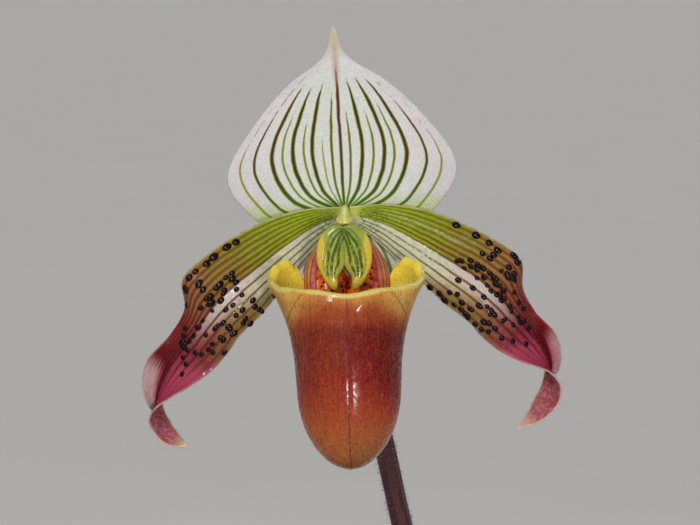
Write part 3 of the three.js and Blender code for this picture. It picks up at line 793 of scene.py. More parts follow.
paint = Paint("sepal_green_striped", specular_ior_level=0.35)
place, width, _, _ = vein_table(paint, LOWER_VEINS, (1.0, 20.0))
line, _ = veined(paint, place, width, 0.25, 0.3)
ground = paint.mixed(paint.ease(paint.mark("along"), 0.9, 0.2), tint(196, 200, 160), tint(214, 216, 200))
colour = paint.mixed(line, ground, tint(96, 130, 50))
colour = clouded(paint, colour, 2.0, 0.12)
colour = paint.mixed(paint.mark("back") * 0.4, colour, tint(170, 184, 120))
grain = tissue(paint, 0.18)[0]
SEPAL_GREEN = paint.cover(colour, 0.5, grain, 0.03)
lower.build("sepal_lower_blade", [SEPAL_GREEN], "synsepalum", "sepal")

# %% [markdown]
# ## The petals
#
# Each petal is a strap that leaves the middle almost level, sweeps down, and twists once near its end, so
# that the last part shows its back. Three rails describe it from base to tip: the upper margin, the
# middle vein and the lower margin. The blade is stretched across them with a small bulge in each half.
# The left petal is the mirror image, with an end of its own: no two petals of a bloom are quite alike.

# %% Petal shape
PETAL_UPPER = [
    (0.5, 0.85, 1.1), (6.4, 0.9, 1.1), (12.4, 0.2, 0.0), (18.0, -1.2, -2.3), (23.6, -2.7, -5.6),
    (28.2, -4.0, -9.4), (28.4, -0.6, -14.2), (30.2, -1.0, -18.2), (33.2, -3.6, -22.0), (34.1, -1.4, -26.2),
    (33.2, 2.2, -29.1), (31.9, 3.7, -27.5), (30.8, 3.4, -30.6), (28.5, 1.5, -34.2), (26.1, -0.4, -37.6)]
PETAL_MIDDLE = [
    (0.5, 0.85, -0.2), (5.5, 0.4, -1.9), (10.5, -0.8, -4.8), (15.4, -2.1, -8.1), (20.1, -3.0, -11.4),
    (23.7, -3.2, -14.6), (26.0, -2.4, -17.6), (28.3, -0.6, -20.6), (30.6, 1.2, -23.8), (32.0, 1.9, -26.8),
    (32.4, 2.4, -28.5), (32.6, 2.2, -30.1), (32.1, 1.7, -32.8), (29.7, 0.7, -35.5), (26.0, -0.5, -37.7)]
PETAL_LOWER = [
    (0.5, 0.85, -1.6), (4.2, 0.6, -4.6), (8.0, -0.2, -8.6), (11.8, -1.2, -12.4), (15.4, -2.1, -16.2),
    (18.9, -2.6, -19.2), (21.0, -2.6, -21.8), (23.8, -2.4, -24.4), (27.2, -2.6, -26.4), (30.2, -3.0, -27.6),
    (32.2, -2.8, -28.7), (33.8, -1.6, -31.0), (33.2, -0.5, -34.0), (30.4, -0.1, -36.5), (25.9, -0.6, -37.8)]
# How the left petal's end differs: outward at the upper and the lower margin, and up.
LEFT_BEND = [
    (0, 0, 0), (0, 0, 0), (0, 0, 0), (-0.5, 0, 0), (1.5, 0.3, -0.7), (1.3, 1.7, -1.95), (1.5, 0.8, -1.2),
    (2.6, 2.7, 0.4)]
PLEAT = 0.7
# Place across, width in millimetres, share of the length where it ends, redness.
PETAL_VEINS = [
    (-0.86, 0.16, 0.60, 0.0), (-0.68, 0.20, 0.64, 0.1), (-0.48, 0.22, 0.68, 0.1), (-0.26, 0.22, 0.72, 0.2),
    (0.0, 0.46, 0.95, 1.0), (0.15, 0.26, 0.80, 0.7), (0.29, 0.31, 0.76, 0.5), (0.44, 0.33, 0.74, 0.3),
    (0.59, 0.34, 0.70, 0.2), (0.73, 0.31, 0.66, 0.1), (0.87, 0.22, 0.60, 0.0)]


def petal_surface(side):
    """The middle sheet of one petal. side is 1 for the right and -1 for the left."""

    def surface(v, t):
        rails = [through(rail, t) for rail in (PETAL_LOWER, PETAL_MIDDLE, PETAL_UPPER)]
        shares = [v * (v - 1) / 2, 1 - v * v, v * (v + 1) / 2]
        x, y, z = np.moveaxis(sum(rail * share[..., None] for rail, share in zip(rails, shares)), -1, 0)
        y = y - PLEAT * np.sin(math.pi * np.abs(v)) * np.sin(math.pi * np.minimum(t * 1.6, 1))
        y = y + 0.28 * np.abs(v) ** 3 * np.sin(34 * t + 2 * v) * np.sin(math.pi * t)
        if side > 0:
            return np.stack([x, y, z], axis=-1)
        above, below, lift = np.moveaxis(through(LEFT_BEND, t), -1, 0)
        return np.stack([-x - mix(below, above, (v + 1) / 2), y, z + lift], axis=-1)

    return surface


# %% [markdown]
# The warts stand in rows on the veins, bare near the base and near the end. The ones at the upper margin
# are larger and stand alone, those inside the blade crowd in twos and threes. Each petal has a list of
# its own: a row's place across, its size, and where its warts stand along the petal, in thousandths.

# %% Warts and hairs of the petals
WART_ROWS = {
    1: {
        (0.86, 1.15): (218, 258, 286, 307, 340, 354), (0.67, 1.0): (304, 345, 365),
        (0.54, 1.0): (283, 301, 352, 370, 378), (0.50, 0.95): (336, 358), (0.39, 0.95): (402, 436, 460),
        (0.25, 1.0): (268, 285, 299, 318, 335, 355, 372), (0.12, 0.95): (245, 252, 275, 290, 312, 345, 390),
        (0.05, 0.95): (265, 330, 371, 419, 430, 463, 485, 510),
        (-0.05, 0.9): (300, 346, 365, 386, 434, 478), (-0.30, 0.85): (269, 306, 342, 437, 468),
        (-0.41, 0.85): (367, 385, 401, 436, 540), (-0.56, 0.9): (288, 349, 391, 505),
        (-0.70, 0.9): (272, 310, 338, 395, 410, 437, 474), (-0.84, 0.85): (300, 322, 346, 430),
        (-0.92, 0.95): (233, 258, 277, 338, 350, 380, 409)},
    -1: {
        (0.84, 1.15): (227, 246, 276, 295, 322, 341, 366), (0.76, 1.0): (294, 370, 407),
        (0.60, 1.05): (332, 336), (0.42, 0.95): (335, 455),
        (0.26, 1.0): (262, 267, 278, 298, 334, 375, 471), (0.20, 1.0): (269, 309, 345, 487),
        (0.06, 0.95): (267, 298, 304, 342, 347, 399, 428, 491),
        (-0.04, 0.9): (321, 357, 424, 452, 470, 494), (-0.17, 0.85): (276, 494, 517),
        (-0.34, 0.85): (276, 308, 329, 427), (-0.41, 0.85): (362, 380, 392, 486, 527),
        (-0.57, 0.9): (268, 301, 322, 479, 557), (-0.63, 0.9): (361, 405, 436, 456),
        (-0.74, 0.9): (276, 313, 362, 405, 456), (-0.86, 0.9): (275, 326, 364, 372),
        (-0.93, 0.9): (229, 275, 316, 437)}}
WART_RADIUS, WART_HEIGHT, WART_STRAY = 0.50, 0.62, 0.03
MARGIN_HAIRS, BASE_HAIRS = 110, 80
PETAL_GRID, PETAL_THICK, PETAL_FACE, PETAL_RIDGES = (72, 260), (0.55, 0.4), 0.2, (0.07, 0.14)


def on_petal(surface, u, t):
    """A place on the petal, its normal towards the viewer, and the way along the petal."""
    here = surface(u, t)
    ahead = unit(surface(u, t + STEP) - here)
    normal = unit(np.cross(surface(u + STEP, t) - here, ahead))
    return here, normal * np.where(normal[..., 1:2] < 0, 1, -1), ahead


def petal(side, seed):
    """One petal with its blade, warts and hairs."""
    surface = petal_surface(side)
    random = np.random.default_rng(seed)
    form = Form()
    points, faces, marks = veined_blade(
        surface, PETAL_GRID, lambda u, t: mix(*PETAL_THICK, u * u), PETAL_VEINS, PETAL_RIDGES)
    marks["left"] = 0.0 * marks["across"] + (side < 0)
    form.add(on_plant(points), faces, marks)

    for (row, size), places in WART_ROWS[side].items():
        for place in places:
            u = np.array(np.clip(row + WART_STRAY * random.normal(), -0.95, 0.93))
            here, normal, ahead = on_petal(surface, u, np.array(place / 1000))
            radius = WART_RADIUS * size * random.uniform(0.85, 1.15)
            long = radius * random.uniform(0.95, 1.5)
            foot = here + PETAL_FACE * normal
            points, faces, marks = dome(foot, normal, ahead, long, radius, radius * WART_HEIGHT)
            form.add(on_plant(points), faces, {**marks, "shade": random.random()}, finish=1)

    for margin in (-1.0, 1.0):
        t = np.sort(random.uniform(0.04, 0.97, MARGIN_HAIRS))
        edge = np.full_like(t, margin)
        root = surface(edge, t)
        out = unit(root - surface(0.97 * edge, t))
        lean = unit(surface(edge, t + STEP) - root)
        way = unit(out + 0.5 * lean + 0.35 * random.normal(size=out.shape))
        lengths = random.uniform(0.25, 0.6, len(t))
        points, faces = hairs(on_plant(root - 0.05 * out), way @ BLOOM_TURN.T, lengths, 0.035)
        form.add(points, faces, finish=2)

    # A tuft of dark hairs stands at the foot of the petal, beside the column.
    t = random.uniform(0.02, 0.085, BASE_HAIRS)
    u = random.uniform(-0.9, 0.55, BASE_HAIRS)
    here, normal, _ = on_petal(surface, u, t)
    way = unit(normal + 0.9 * random.normal(size=normal.shape))
    lengths = random.uniform(0.6, 1.3, BASE_HAIRS)
    points, faces = hairs(on_plant(here + PETAL_FACE * normal), way @ BLOOM_TURN.T, lengths, 0.085)
    form.add(points, faces, finish=3)
    return form


petals = {1: petal(1, 21), -1: petal(-1, 34)}
print("warts on the right petal:", sum(map(len, WART_ROWS[1].values())))

# %% [markdown]
# ### Its paint
#
# A petal changes colour along its length and across it. The upper half starts green with darker lines
# and turns tan and then rose. The lower half starts white with fine green lines and turns pink. So two
# ramps run along the petal, one for each half, and a third one colours the back. The veins are darker
# than what they run through, brown near the middle and green near the margins.

# %% Petal paint
paint = Paint("petal_green_to_rose", specular_ior_level=0.15, coat_roughness=0.16)
across, wide, along, outer = paint.marks("across", "wide", "along", "back")
shifted = along + (paint.noise(260.0, 3.0) - 0.5) * 0.07
upper = paint.ramp(shifted, [
    (0.00, tint(210, 210, 96)), (0.06, tint(170, 188, 20)), (0.18, tint(154, 160, 24)),
    (0.25, tint(156, 130, 38)), (0.32, tint(158, 112, 54)), (0.40, tint(152, 84, 56)),
    (0.47, tint(138, 46, 40)), (0.54, tint(116, 18, 32)), (0.62, tint(120, 16, 40)),
    (0.74, tint(150, 56, 72)), (0.88, tint(150, 66, 78)), (1.00, tint(214, 200, 160))])
lower_half = paint.ramp(shifted, [
    (0.00, tint(206, 212, 150)), (0.06, tint(216, 218, 190)), (0.24, tint(214, 208, 182)),
    (0.30, tint(176, 150, 104)), (0.37, tint(142, 96, 60)), (0.43, tint(144, 70, 58)),
    (0.49, tint(138, 44, 54)), (0.56, tint(166, 58, 88)), (0.64, tint(154, 40, 74)),
    (0.70, tint(112, 20, 44)), (0.88, tint(150, 66, 78)), (1.00, tint(214, 200, 160))])
# Just under the middle vein the white reaches further out than at the lower margin.
bright = paint.ease(across, -0.50, -0.22) * paint.ease(across, 0.04, -0.08)
bright = bright * paint.ease(along, 0.2, 0.3) * paint.ease(along, 0.50, 0.31)
lower_half = paint.mixed(bright * 0.78, lower_half, tint(222, 206, 206))
fringe = paint.ease(across, -0.50, -0.82) * paint.ease(along, 0.14, 0.28) * paint.ease(along, 0.52, 0.36)
lower_half = paint.mixed(fringe * 0.85, lower_half, tint(132, 104, 42))
ground = paint.mixed(paint.ease(across, -0.06, 0.06), lower_half, upper)
glow = paint.ease(across, 0.30, 0.75) * paint.ease(along, 0.40, 0.47) * paint.ease(along, 0.60, 0.52)
ground = paint.mixed(glow * 0.6, ground, tint(156, 34, 30))
magenta = paint.ease(across, -0.15, -0.5) * paint.ease(along, 0.50, 0.56) * paint.ease(along, 0.72, 0.64)
ground = paint.mixed(magenta * 0.8, ground, tint(192, 76, 106))
# Beyond the last warts the upper part folds forward: a maroon crease, and a pale pink flap beside it.
folded = paint.ease(along, 0.54, 0.60)
left = paint.mark("left")
beyond_fold = across - paint.between(left, 0.26, 0.06)
crease = paint.ease(abs(beyond_fold), 0.30, 0.0) * paint.ease(along, 0.50, 0.60)
ground = paint.mixed(crease * 0.85, ground, tint(100, 8, 28))
flap = paint.ease(beyond_fold, 0.08, 0.30) * folded
ground = paint.mixed(flap * 0.95, ground, tint(232, 136, 150))
pale_edge = paint.ease(beyond_fold, 0.24, 0.55) * folded
ground = paint.mixed(pale_edge * paint.between(left, 0.45, 0.95), ground, tint(252, 232, 230))

place, width, end, red = vein_table(paint, PETAL_VEINS, (1.0, 0.0))
width = width * paint.between(paint.ease(along, 0.03, 0.30), 0.30, 1.0)
reach = paint.ease(along, end, end - 0.2) * paint.ease(along, 0.0, 0.05) * (1.0 - flap * 0.8)
line = veined(paint, place, width, 0.18, 0.35)[0] * reach
vein_green = paint.ramp(shifted, [
    (0.0, tint(110, 140, 10)), (0.22, tint(100, 106, 8)), (0.32, tint(106, 62, 16)),
    (0.45, tint(102, 22, 20)), (0.60, tint(92, 6, 26)), (1.0, tint(110, 30, 50))])
vein_brown = paint.ramp(shifted, [
    (0.0, tint(110, 130, 12)), (0.10, tint(102, 100, 8)), (0.22, tint(92, 50, 8)), (0.42, tint(86, 16, 16)),
    (0.60, tint(78, 4, 22)), (1.0, tint(100, 26, 44))])
colour = paint.mixed(line * 0.9, ground, paint.mixed(red, vein_green, vein_brown))
rim = paint.use(margin_band, {"Across": across, "Half Width": wide, "Band": 0.42})
rim_colour = paint.ramp(along, [
    (0.0, tint(232, 228, 196)), (0.3, tint(206, 196, 140)), (0.42, tint(160, 110, 90)),
    (0.56, tint(190, 120, 130)), (0.66, tint(226, 190, 188)), (1.0, tint(226, 206, 180))])
colour = paint.mixed(rim * 0.8, colour, rim_colour)
behind = paint.ramp(shifted, [
    (0.0, tint(176, 182, 100)), (0.3, tint(172, 158, 98)), (0.46, tint(176, 116, 96)),
    (0.62, tint(168, 82, 88)), (0.72, tint(126, 66, 40)), (0.78, tint(150, 52, 66)),
    (0.93, tint(168, 84, 94)), (1.0, tint(222, 208, 164))])
mottle = paint.ease(paint.noise(1500.0, 3.0), 0.42, 0.62)
behind = paint.mixed(mottle * 0.42, behind, tint(214, 150, 152))
behind = paint.mixed(line * 0.55, behind, tint(112, 40, 56))
inner_strip = paint.ease(across, 0.45, 0.9) * paint.ease(along, 0.70, 0.78)
behind = paint.mixed(inner_strip * 0.6, behind, tint(150, 112, 80))
behind = paint.mixed(rim * 0.85, behind, tint(222, 196, 184))
colour = paint.mixed(outer, colour, behind)
colour = clouded(paint, colour, 0.7, 0.36)
grain, sparkle = tissue(paint, 0.18)
# The hollows between the cells are painted darker: painted shade.
colour = paint.mixed((1.0 - grain) * 0.26, colour, tint(62, 22, 16))
# The gloss breaks up into sparks, and the pale lower half has most of them.
gloss = paint.ease(paint.noise(2100.0, 2.0, rough=0.7), 0.48, 0.62)
coat = paint.between(gloss, 0.04, paint.between(paint.ease(across, 0.0, 0.2), 0.7, 0.16))
PETAL_SKIN = paint.cover(colour, paint.between(sparkle, 0.46, 0.24), grain + line * -0.8, 0.06, coat)

paint = Paint("wart_dark_glossy", specular_ior_level=0.05, coat_weight=0.35, coat_roughness=0.1)
shade = paint.mark("shade") * paint.ease(paint.mark("height"), 0.7, -0.1)
colour = paint.mixed(shade * 0.5, tint(22, 3, 8), tint(96, 20, 28))
WART_SKIN = paint.cover(colour, paint.between(paint.noise(1500.0), 0.2, 0.35), paint.noise(2500.0), 0.02)

paint = Paint("hair_pale_brown", sheen_weight=0.2)
WHISKER = paint.cover(paint.mixed(paint.noise(700.0), tint(176, 150, 136), tint(120, 84, 76)), 0.5)

paint = Paint("hair_dark_purple", specular_ior_level=0.3)
DARK_HAIR = paint.cover(paint.mixed(paint.noise(900.0), tint(40, 24, 14), tint(84, 70, 30)), 0.45)

PETAL_FINISHES = [PETAL_SKIN, WART_SKIN, WHISKER, DARK_HAIR]
petals[1].build("petal_right_blade", PETAL_FINISHES, "petal_right", "petal")
petals[-1].build("petal_left_blade", PETAL_FINISHES, "petal_left", "petal")

# %% [markdown]
# ## The slipper
#
# The lip of this orchid is a pouch, the slipper, open at the top. Its walls are thin, its rim is rolled,
# and at both sides the rim rises into a yellow ear. Each ring of the skin is an ellipse between a front
# and a back wall. The rings do not end at one height: the rim climbs from the front to the ears and
# falls again behind them, so every column of points has a length of its own.

# %% Slipper shape
POUCH_ROWS = [
    (-41.4, 0.3, -20.2, -19.6), (-40.9, 2.0, -22.2, -17.6), (-39.6, 4.0, -23.9, -15.8),
    (-37.4, 5.85, -25.2, -14.2), (-34.5, 7.3, -26.0, -12.8), (-31.2, 8.15, -26.4, -11.5),
    (-27.6, 8.45, -26.5, -10.2), (-23.8, 8.7, -26.3, -8.8), (-20.1, 9.3, -25.9, -7.3),
    (-16.9, 10.2, -25.5, -6.0), (-14.0, 11.35, -25.1, -4.9), (-11.3, 12.4, -24.4, -4.1),
    (-8.2, 12.4, -23.2, -3.6)]
# Angle from straight sideways towards the back, in degrees, and the rim's height there.
RIM = [
    (-90, -13.5), (-60, -12.7), (-30, -12.2), (0, -10.9), (20, -9.2), (36, -8.4), (46, -9.6), (58, -12.6),
    (90, -13.4)]
POUCH_WALL = 0.55


def rim_height(angle):
    turn = np.degrees(np.arcsin(np.sin(angle)))
    edges, heights = np.array(RIM, float).T
    i = np.clip(np.searchsorted(edges, turn) - 1, 0, len(RIM) - 2)
    return mix(heights[i], heights[i + 1], smooth((turn - edges[i]) / (edges[i + 1] - edges[i])))


def pouch_share(height):
    """How far up the rows a height lies."""
    fine = np.linspace(0, 1, 2001)
    return np.interp(height, through(POUCH_ROWS, fine)[:, 0], fine)


def pouch(around=220, up=150, roll=12):
    """Up the outer wall, over the rolled rim, and down the inner wall."""
    angle = np.arange(around) * 2 * math.pi / around
    share = pouch_share(rim_height(angle))
    backward = np.degrees(np.arcsin(np.sin(angle)))
    from_front = np.abs((np.degrees(angle) + 90 + 180) % 360 - 180)
    ear = smooth((backward + 8) / 25) * smooth((64 - backward) / 14)
    bead = mix(0.22, 0.62, ear)
    start = mix(0.94, 0.80, ear)
    # The front rim swells outward at both sides of its middle, and a fine keel runs down the middle.
    swell = 0.35 * smooth(from_front / 16) * smooth((80 - from_front) / 25)
    keel = 0.07 * np.exp(-((from_front / 1.8) ** 2))
    outer = [(i / up, 0.0) for i in range(up + 1)]
    turned = [(1.0, f) for f in np.linspace(0, 1, roll + 2)[1:-1]]
    inner = [(i / up, 1.0) for i in range(up, 0, -2)]
    rings, inside, height = [], [], []
    for level, f in outer + turned + inner:
        z, half, front, back = np.moveaxis(through(POUCH_ROWS, level * share), -1, 0)
        lip = smooth((level - start) / (1 - start))
        inset = f * (POUCH_WALL + 2 * bead * lip) - bead * lip
        rise = bead * 1.5 * lip * (np.sin(math.pi * f) if level == 1.0 else 0.0)
        inset = inset - (1 - f) * swell * math.exp(-(((level - 0.945) / 0.035) ** 2))
        deep = (back - front) / 2 - inset - (1 - f) * keel * math.sin(math.pi * level)
        deep, flat = np.maximum(deep, 0.05), np.maximum(half - inset, 0.05)
        x, y = flat * np.cos(angle), (front + back) / 2 + deep * np.sin(angle)
        rings.append(np.stack([x, y, z + rise], axis=-1))
        inside.append(np.full(around, f))
        height.append(np.full(around, level))
    rings = np.array(rings)
    return skin(rings, {
        "inside": np.array(inside), "level": np.array(height), "ear": np.array([ear] * len(rings))})


slipper = Form()
points, faces, marks = pouch()
marks["across"], marks["rise"], marks["deep"] = points[:, 0], points[:, 2], points[:, 1]
slipper.add(hung(points), faces, marks)

# %% [markdown]
# Behind the shield the slipper's side lobes roll inwards. From the front they are two upright folds,
# tan outside and red with dark spots where they turn in. Each is a skin over a few rings, with a crease
# down its inner side where the margin rolls over.

# %% Side lobes
LOBE_ROWS = [
    (-3.3, 1.7, -1.7, 0.5, 0.5), (-4.0, 2.1, -2.9, 1.4, 1.3), (-6.0, 2.9, -5.2, 2.4, 2.2),
    (-8.6, 3.3, -6.8, 3.35, 2.7), (-11.4, 3.4, -7.9, 3.55, 3.0), (-14.6, 3.3, -8.4, 3.45, 3.0),
    (-18.0, 3.0, -8.4, 2.6, 2.5), (-20.4, 2.8, -8.2, 1.2, 1.2)]


def side_lobe(side):
    t, angle = along_and_round(91, 72)
    z, x, y, wide, deep = np.moveaxis(through(LOBE_ROWS, t), -1, 0)
    hollow = 0.16 * np.exp(-(((np.degrees(angle) - 292) / 13) ** 2))
    crease = 1 - hollow * smooth(t / 0.15) * smooth((1 - t) / 0.2)
    size = crease * (1 + 0.010 * np.cos(26 * angle))
    rings = np.stack([side * (x + wide * size * np.cos(angle)), y + deep * size * np.sin(angle), z], axis=-1)
    points, faces, marks = skin(rings, {"along": t, "round": np.degrees(angle)})
    marks["rise"] = points[:, 2]
    return hung(points), faces, marks


for side in (1, -1):
    slipper.add(*side_lobe(side), finish=1)

# %% [markdown]
# ### Paint of the slipper
#
# Seen from the front the slipper is yellow at the rim, orange under it, brick red in the middle and tan
# at the toe. Thin dark lines run down from the ears, and one runs down the middle. Its skin is smooth
# and glossy over a fine vertical grain. The colours follow the height, so the height is a mark.

# %% Slipper paint
paint = Paint("slipper_brick_red", specular_ior_level=0.12, coat_roughness=0.17, coat_ior=1.45)
across, rise, inside, ear, level, deep = paint.marks("across", "rise", "inside", "ear", "level", "deep")
beside = abs(across)
clouds = (paint.noise(190.0, 4.0) - 0.5) * 4.0
# The yellow of the rim reaches lower at the sides, under the ears, than in the middle.
height = rise + clouds + paint.ease(beside, 3.0, 11.0) * 3.2
TOE, RIM_LEVEL = -42.0, -10.0
share = paint.add("ShaderNodeMapRange", {"Value": height, "From Min": TOE, "From Max": RIM_LEVEL})
wall = paint.ramp(share, [
    (0.00, tint(122, 60, 24)), (0.10, tint(148, 86, 38)), (0.22, tint(160, 78, 32)),
    (0.34, tint(154, 52, 22)), (0.46, tint(136, 22, 10)), (0.60, tint(116, 10, 5)),
    (0.72, tint(112, 14, 4)), (0.82, tint(160, 70, 26)), (0.90, tint(206, 146, 66)),
    (1.00, tint(224, 180, 80))])
# Half way down, the slipper's sides are painted a darker red: painted shade where the wall turns away from
# the front.
painted_side_shade = paint.ease(beside, 2.5, 6.5) * paint.ease(rise, -33.0, -26.0) * paint.ease(rise, -16.0, -21.0)
wall = paint.mixed(painted_side_shade * 0.6, wall, tint(96, 8, 4))
wall = paint.mixed(paint.ease(across, 2.0, -4.0) * 0.16, wall, tint(180, 90, 40))
# Fine threads run down the wall, and the colour lies on it in small patches.
threads = paint.noise(60.0, 5.0, vector=paint.joined(across * 0.055, rise * 0.007, deep * 0.022))
patches = paint.noise(2300.0, 3.0, rough=0.6)
wall = paint.mixed(paint.ease(threads, 0.46, 0.74) * 0.34, wall, tint(88, 8, 6))
wall = paint.mixed(paint.ease(threads, 0.47, 0.30) * 0.20, wall, tint(190, 100, 50))
wall = paint.mixed(paint.ease(patches, 0.54, 0.72) * 0.22, wall, tint(204, 116, 64))
wall = paint.mixed(paint.ease(patches, 0.48, 0.32) * 0.28, wall, tint(80, 8, 6))
# A seam runs down the middle, and an arc leaves each ear.
wavy = across + (paint.noise(120.0, 2.0) - 0.5) * 0.7
seam = paint.ease(abs(wavy), 0.17, 0.03) * paint.ease(deep, -18.0, -20.0)
wall = paint.mixed(seam * paint.between(paint.ease(rise, -28.0, -38.0), 0.45, 0.8), wall, tint(92, 16, 16))
bow = beside - paint.math("MAXIMUM", -13.0 - rise, 0.0) ** 0.55 * 1.35
arc = paint.ease(abs(bow - 6.6), 0.2, 0.03)
arc = arc * paint.ease(rise, -20.0, -17.0) * paint.ease(deep, -14.0, -17.0)
wall = paint.mixed(arc * 0.5, wall, tint(104, 40, 20))
yellow = paint.mixed(paint.noise(420.0, 3.0), tint(255, 240, 92), tint(255, 218, 64))
rim_start = paint.between(paint.noise(230.0, 3.0), 0.955, 1.0)
pale_rim = paint.ease(level, rim_start, rim_start + 0.02) * (1.0 - ear)
wall = paint.mixed(pale_rim * 0.85, wall, tint(228, 212, 116))
wall = paint.mixed(ear * paint.ease(level, 0.74, 0.93), wall, yellow)
lining = paint.mixed(paint.ease(rise, -18.0, -11.5), tint(170, 96, 40), yellow)
lining = paint.mixed(ear, lining, yellow)
colour = paint.mixed(paint.ease(inside, 0.35, 0.75), wall, lining)
colour = clouded(paint, colour, 1.0, 0.16)
grain, sparkle = tissue(paint, 0.34)
relief = threads * 0.5 + grain * 0.5 + patches
# The gloss is broken by the leathery grain.
gloss = paint.ease(paint.noise(1500.0, 2.0, rough=0.7), 0.44, 0.60)
POUCH_SKIN = paint.cover(
    colour, paint.between(sparkle, 0.42, 0.2), relief, 0.16, paint.between(gloss, 0.12, 0.85))

# Round each side lobe an angle tells its parts: the tan outer side, and the spotted flesh turned inward.
paint = Paint("lobe_red_spotted", specular_ior_level=0.2, coat_roughness=0.12)
rise, turn = paint.marks("rise", "round")
turned = turn + (paint.noise(300.0) - 0.5) * 14.0
fleshy = paint.ease(turned, 305.0, 288.0) * paint.ease(rise, -3.5, -6.0)
bands = paint.math("COSINE", turned * math.radians(360 / 15.0))
tan = paint.mixed(paint.ease(bands, -0.2, 0.9), tint(204, 138, 92), tint(168, 88, 50))
rosy = paint.mixed(paint.ease(bands, -0.2, 0.9), tint(204, 104, 88), tint(176, 64, 54))
tan = paint.mixed(paint.ease(turned, 322.0, 304.0), tan, rosy)
flesh = paint.mixed(paint.ease(rise, -6.0, -11.5), tint(232, 100, 58), tint(250, 114, 34))
flesh = paint.mixed(paint.ease(paint.noise(1300.0, 2.0), 0.45, 0.65), flesh, tint(188, 48, 20))
spots = paint.ease(paint.cells(1050.0, chaos=0.85), 0.36, 0.26)
flesh = paint.mixed(spots, flesh, tint(74, 4, 16))
colour = paint.mixed(fleshy, tan, flesh)
colour = clouded(paint, colour, 0.9, 0.18)
relief = paint.noise(1400.0) + spots + bands * 0.25
LOBE_SKIN = paint.cover(
    colour, paint.between(fleshy, 0.5, 0.22), relief, 0.14, paint.between(fleshy, 0.1, 0.32))
slipper.build("slipper_lip", [POUCH_SKIN, LOBE_SKIN], "lip", "pouch")

# %% [markdown]
# ## Column and shield
#
# In the middle stands the column, where the bloom's stamens and stigma have grown together. Its front end
# is a pale boss, and below it hangs the staminode, a yellow shield with a green-veined middle and two
# horns that point down. Each half of the shield is a thick blade between an inner and an outer edge. The
# halves meet in a groove. In the notch between the horns the grey-green stigma looks out.

# %% Column shape
SHIELD_INNER = [
    (-0.14, -2.9), (-0.14, -4.2), (-0.14, -5.6), (-0.14, -7.2), (-0.10, -8.6), (0.45, -9.6), (1.02, -10.3),
    (1.16, -11.1), (1.30, -11.8), (1.60, -12.42)]
SHIELD_OUTER = [
    (0.15, -2.75), (1.6, -2.1), (3.2, -3.1), (4.2, -4.9), (4.5, -7.0), (4.2, -9.0), (3.45, -10.6),
    (2.75, -11.7), (2.15, -12.25), (1.68, -12.45)]
SHIELD_SHIFT, SHIELD_FRONT = -0.25, -13.6
SHIELD_GRID, SHIELD_THICK = (56, 110), 1.15
# The green veins spread downward: where each lies between groove and margin at the top, and lower down.
SHIELD_VEINS = [(-0.76, -0.46), (-0.50, -0.10), (-0.18, 0.24), (0.16, 0.50)]
COLUMN_LINE = [(0, -0.2, -0.2), (0, -4.5, -0.6), (0, -9.0, -1.0), (0, -13.2, -1.7)]
COLUMN_RADII = [[1.3], [1.45], [1.45], [1.15]]
# The stigma's place, and half its height, width and depth.
STIGMA_AT, STIGMA_SIZE = (0.4, -10.9, -6.5), (4.1, 1.25, 0.9)


def vein_course(vein, t):
    """Where a vein of the shield lies at t, with a small wave."""
    top, low = vein
    return mix(top, low, smooth(t / 0.55)) + 0.035 * np.sin(19 * t + 9 * low)


def shield_half(side):
    """Half of the shield. u runs from the groove to the outer margin and t from the top to the horn."""

    def surface(u, t):
        inner, outer = through(SHIELD_INNER, t), through(SHIELD_OUTER, t)
        x, z = np.moveaxis(mix(inner, outer, ((u + 1) / 2)[..., None]), -1, 0)
        bulge = 0.75 * np.sin(math.pi * np.clip(t, 0, 1)) ** 0.5 * (1 - (0.6 * u + 0.1) ** 2)
        return np.stack([side * x + SHIELD_SHIFT, SHIELD_FRONT + 0.75 - bulge + 0.02 * z, z], axis=-1)

    def furrows(u, t):
        depth = sum(np.exp(-(((u - vein_course(vein, t)) / 0.07) ** 2)) for vein in SHIELD_VEINS)
        return -0.14 * depth * smooth((0.74 - t) / 0.15) * smooth(t / 0.05)

    points, faces, marks = blade(
        surface, *SHIELD_GRID, lambda u, t: SHIELD_THICK + 0 * u, FORWARD, front=furrows, roundness=3.2)
    for number, vein in enumerate(SHIELD_VEINS):
        marks[f"vein_{number}"] = marks["across"] - vein_course(vein, marks["along"])
    return hung(points), faces, marks


def ridge(angle):
    """The column's section: flat sides, and a narrow ridge on top."""
    from_top = np.degrees(np.abs(np.angle(np.exp(1j * (angle - math.pi / 2)))))
    return 0.66 + 0.6 * np.exp(-((from_top / 34) ** 2)) + 0.42 * np.exp(-(((from_top - 125) / 34) ** 2))


def column_radius(t, angle):
    """The column tapers to a blunt front end."""
    end = np.sqrt(np.clip(1.02 - t**5, 0.0005, 1))
    return through(COLUMN_RADII, t)[..., 0] * (ridge(angle) + 0.03 * np.cos(9 * angle)) * end


bloom_middle = Form()
for side in (1, -1):
    bloom_middle.add(*shield_half(side))

points, faces, marks = stem(COLUMN_LINE, 64, 70, column_radius)
bloom_middle.add(hung(points), faces, marks, finish=1)
ahead, upward = np.array([0, -1.0, 0]), np.array([0, 0, 1.0])
points, faces, marks = dome(np.array(STIGMA_AT), ahead, upward, *STIGMA_SIZE, rings=24, sides=40)
bloom_middle.add(hung(points), faces, marks, finish=2)

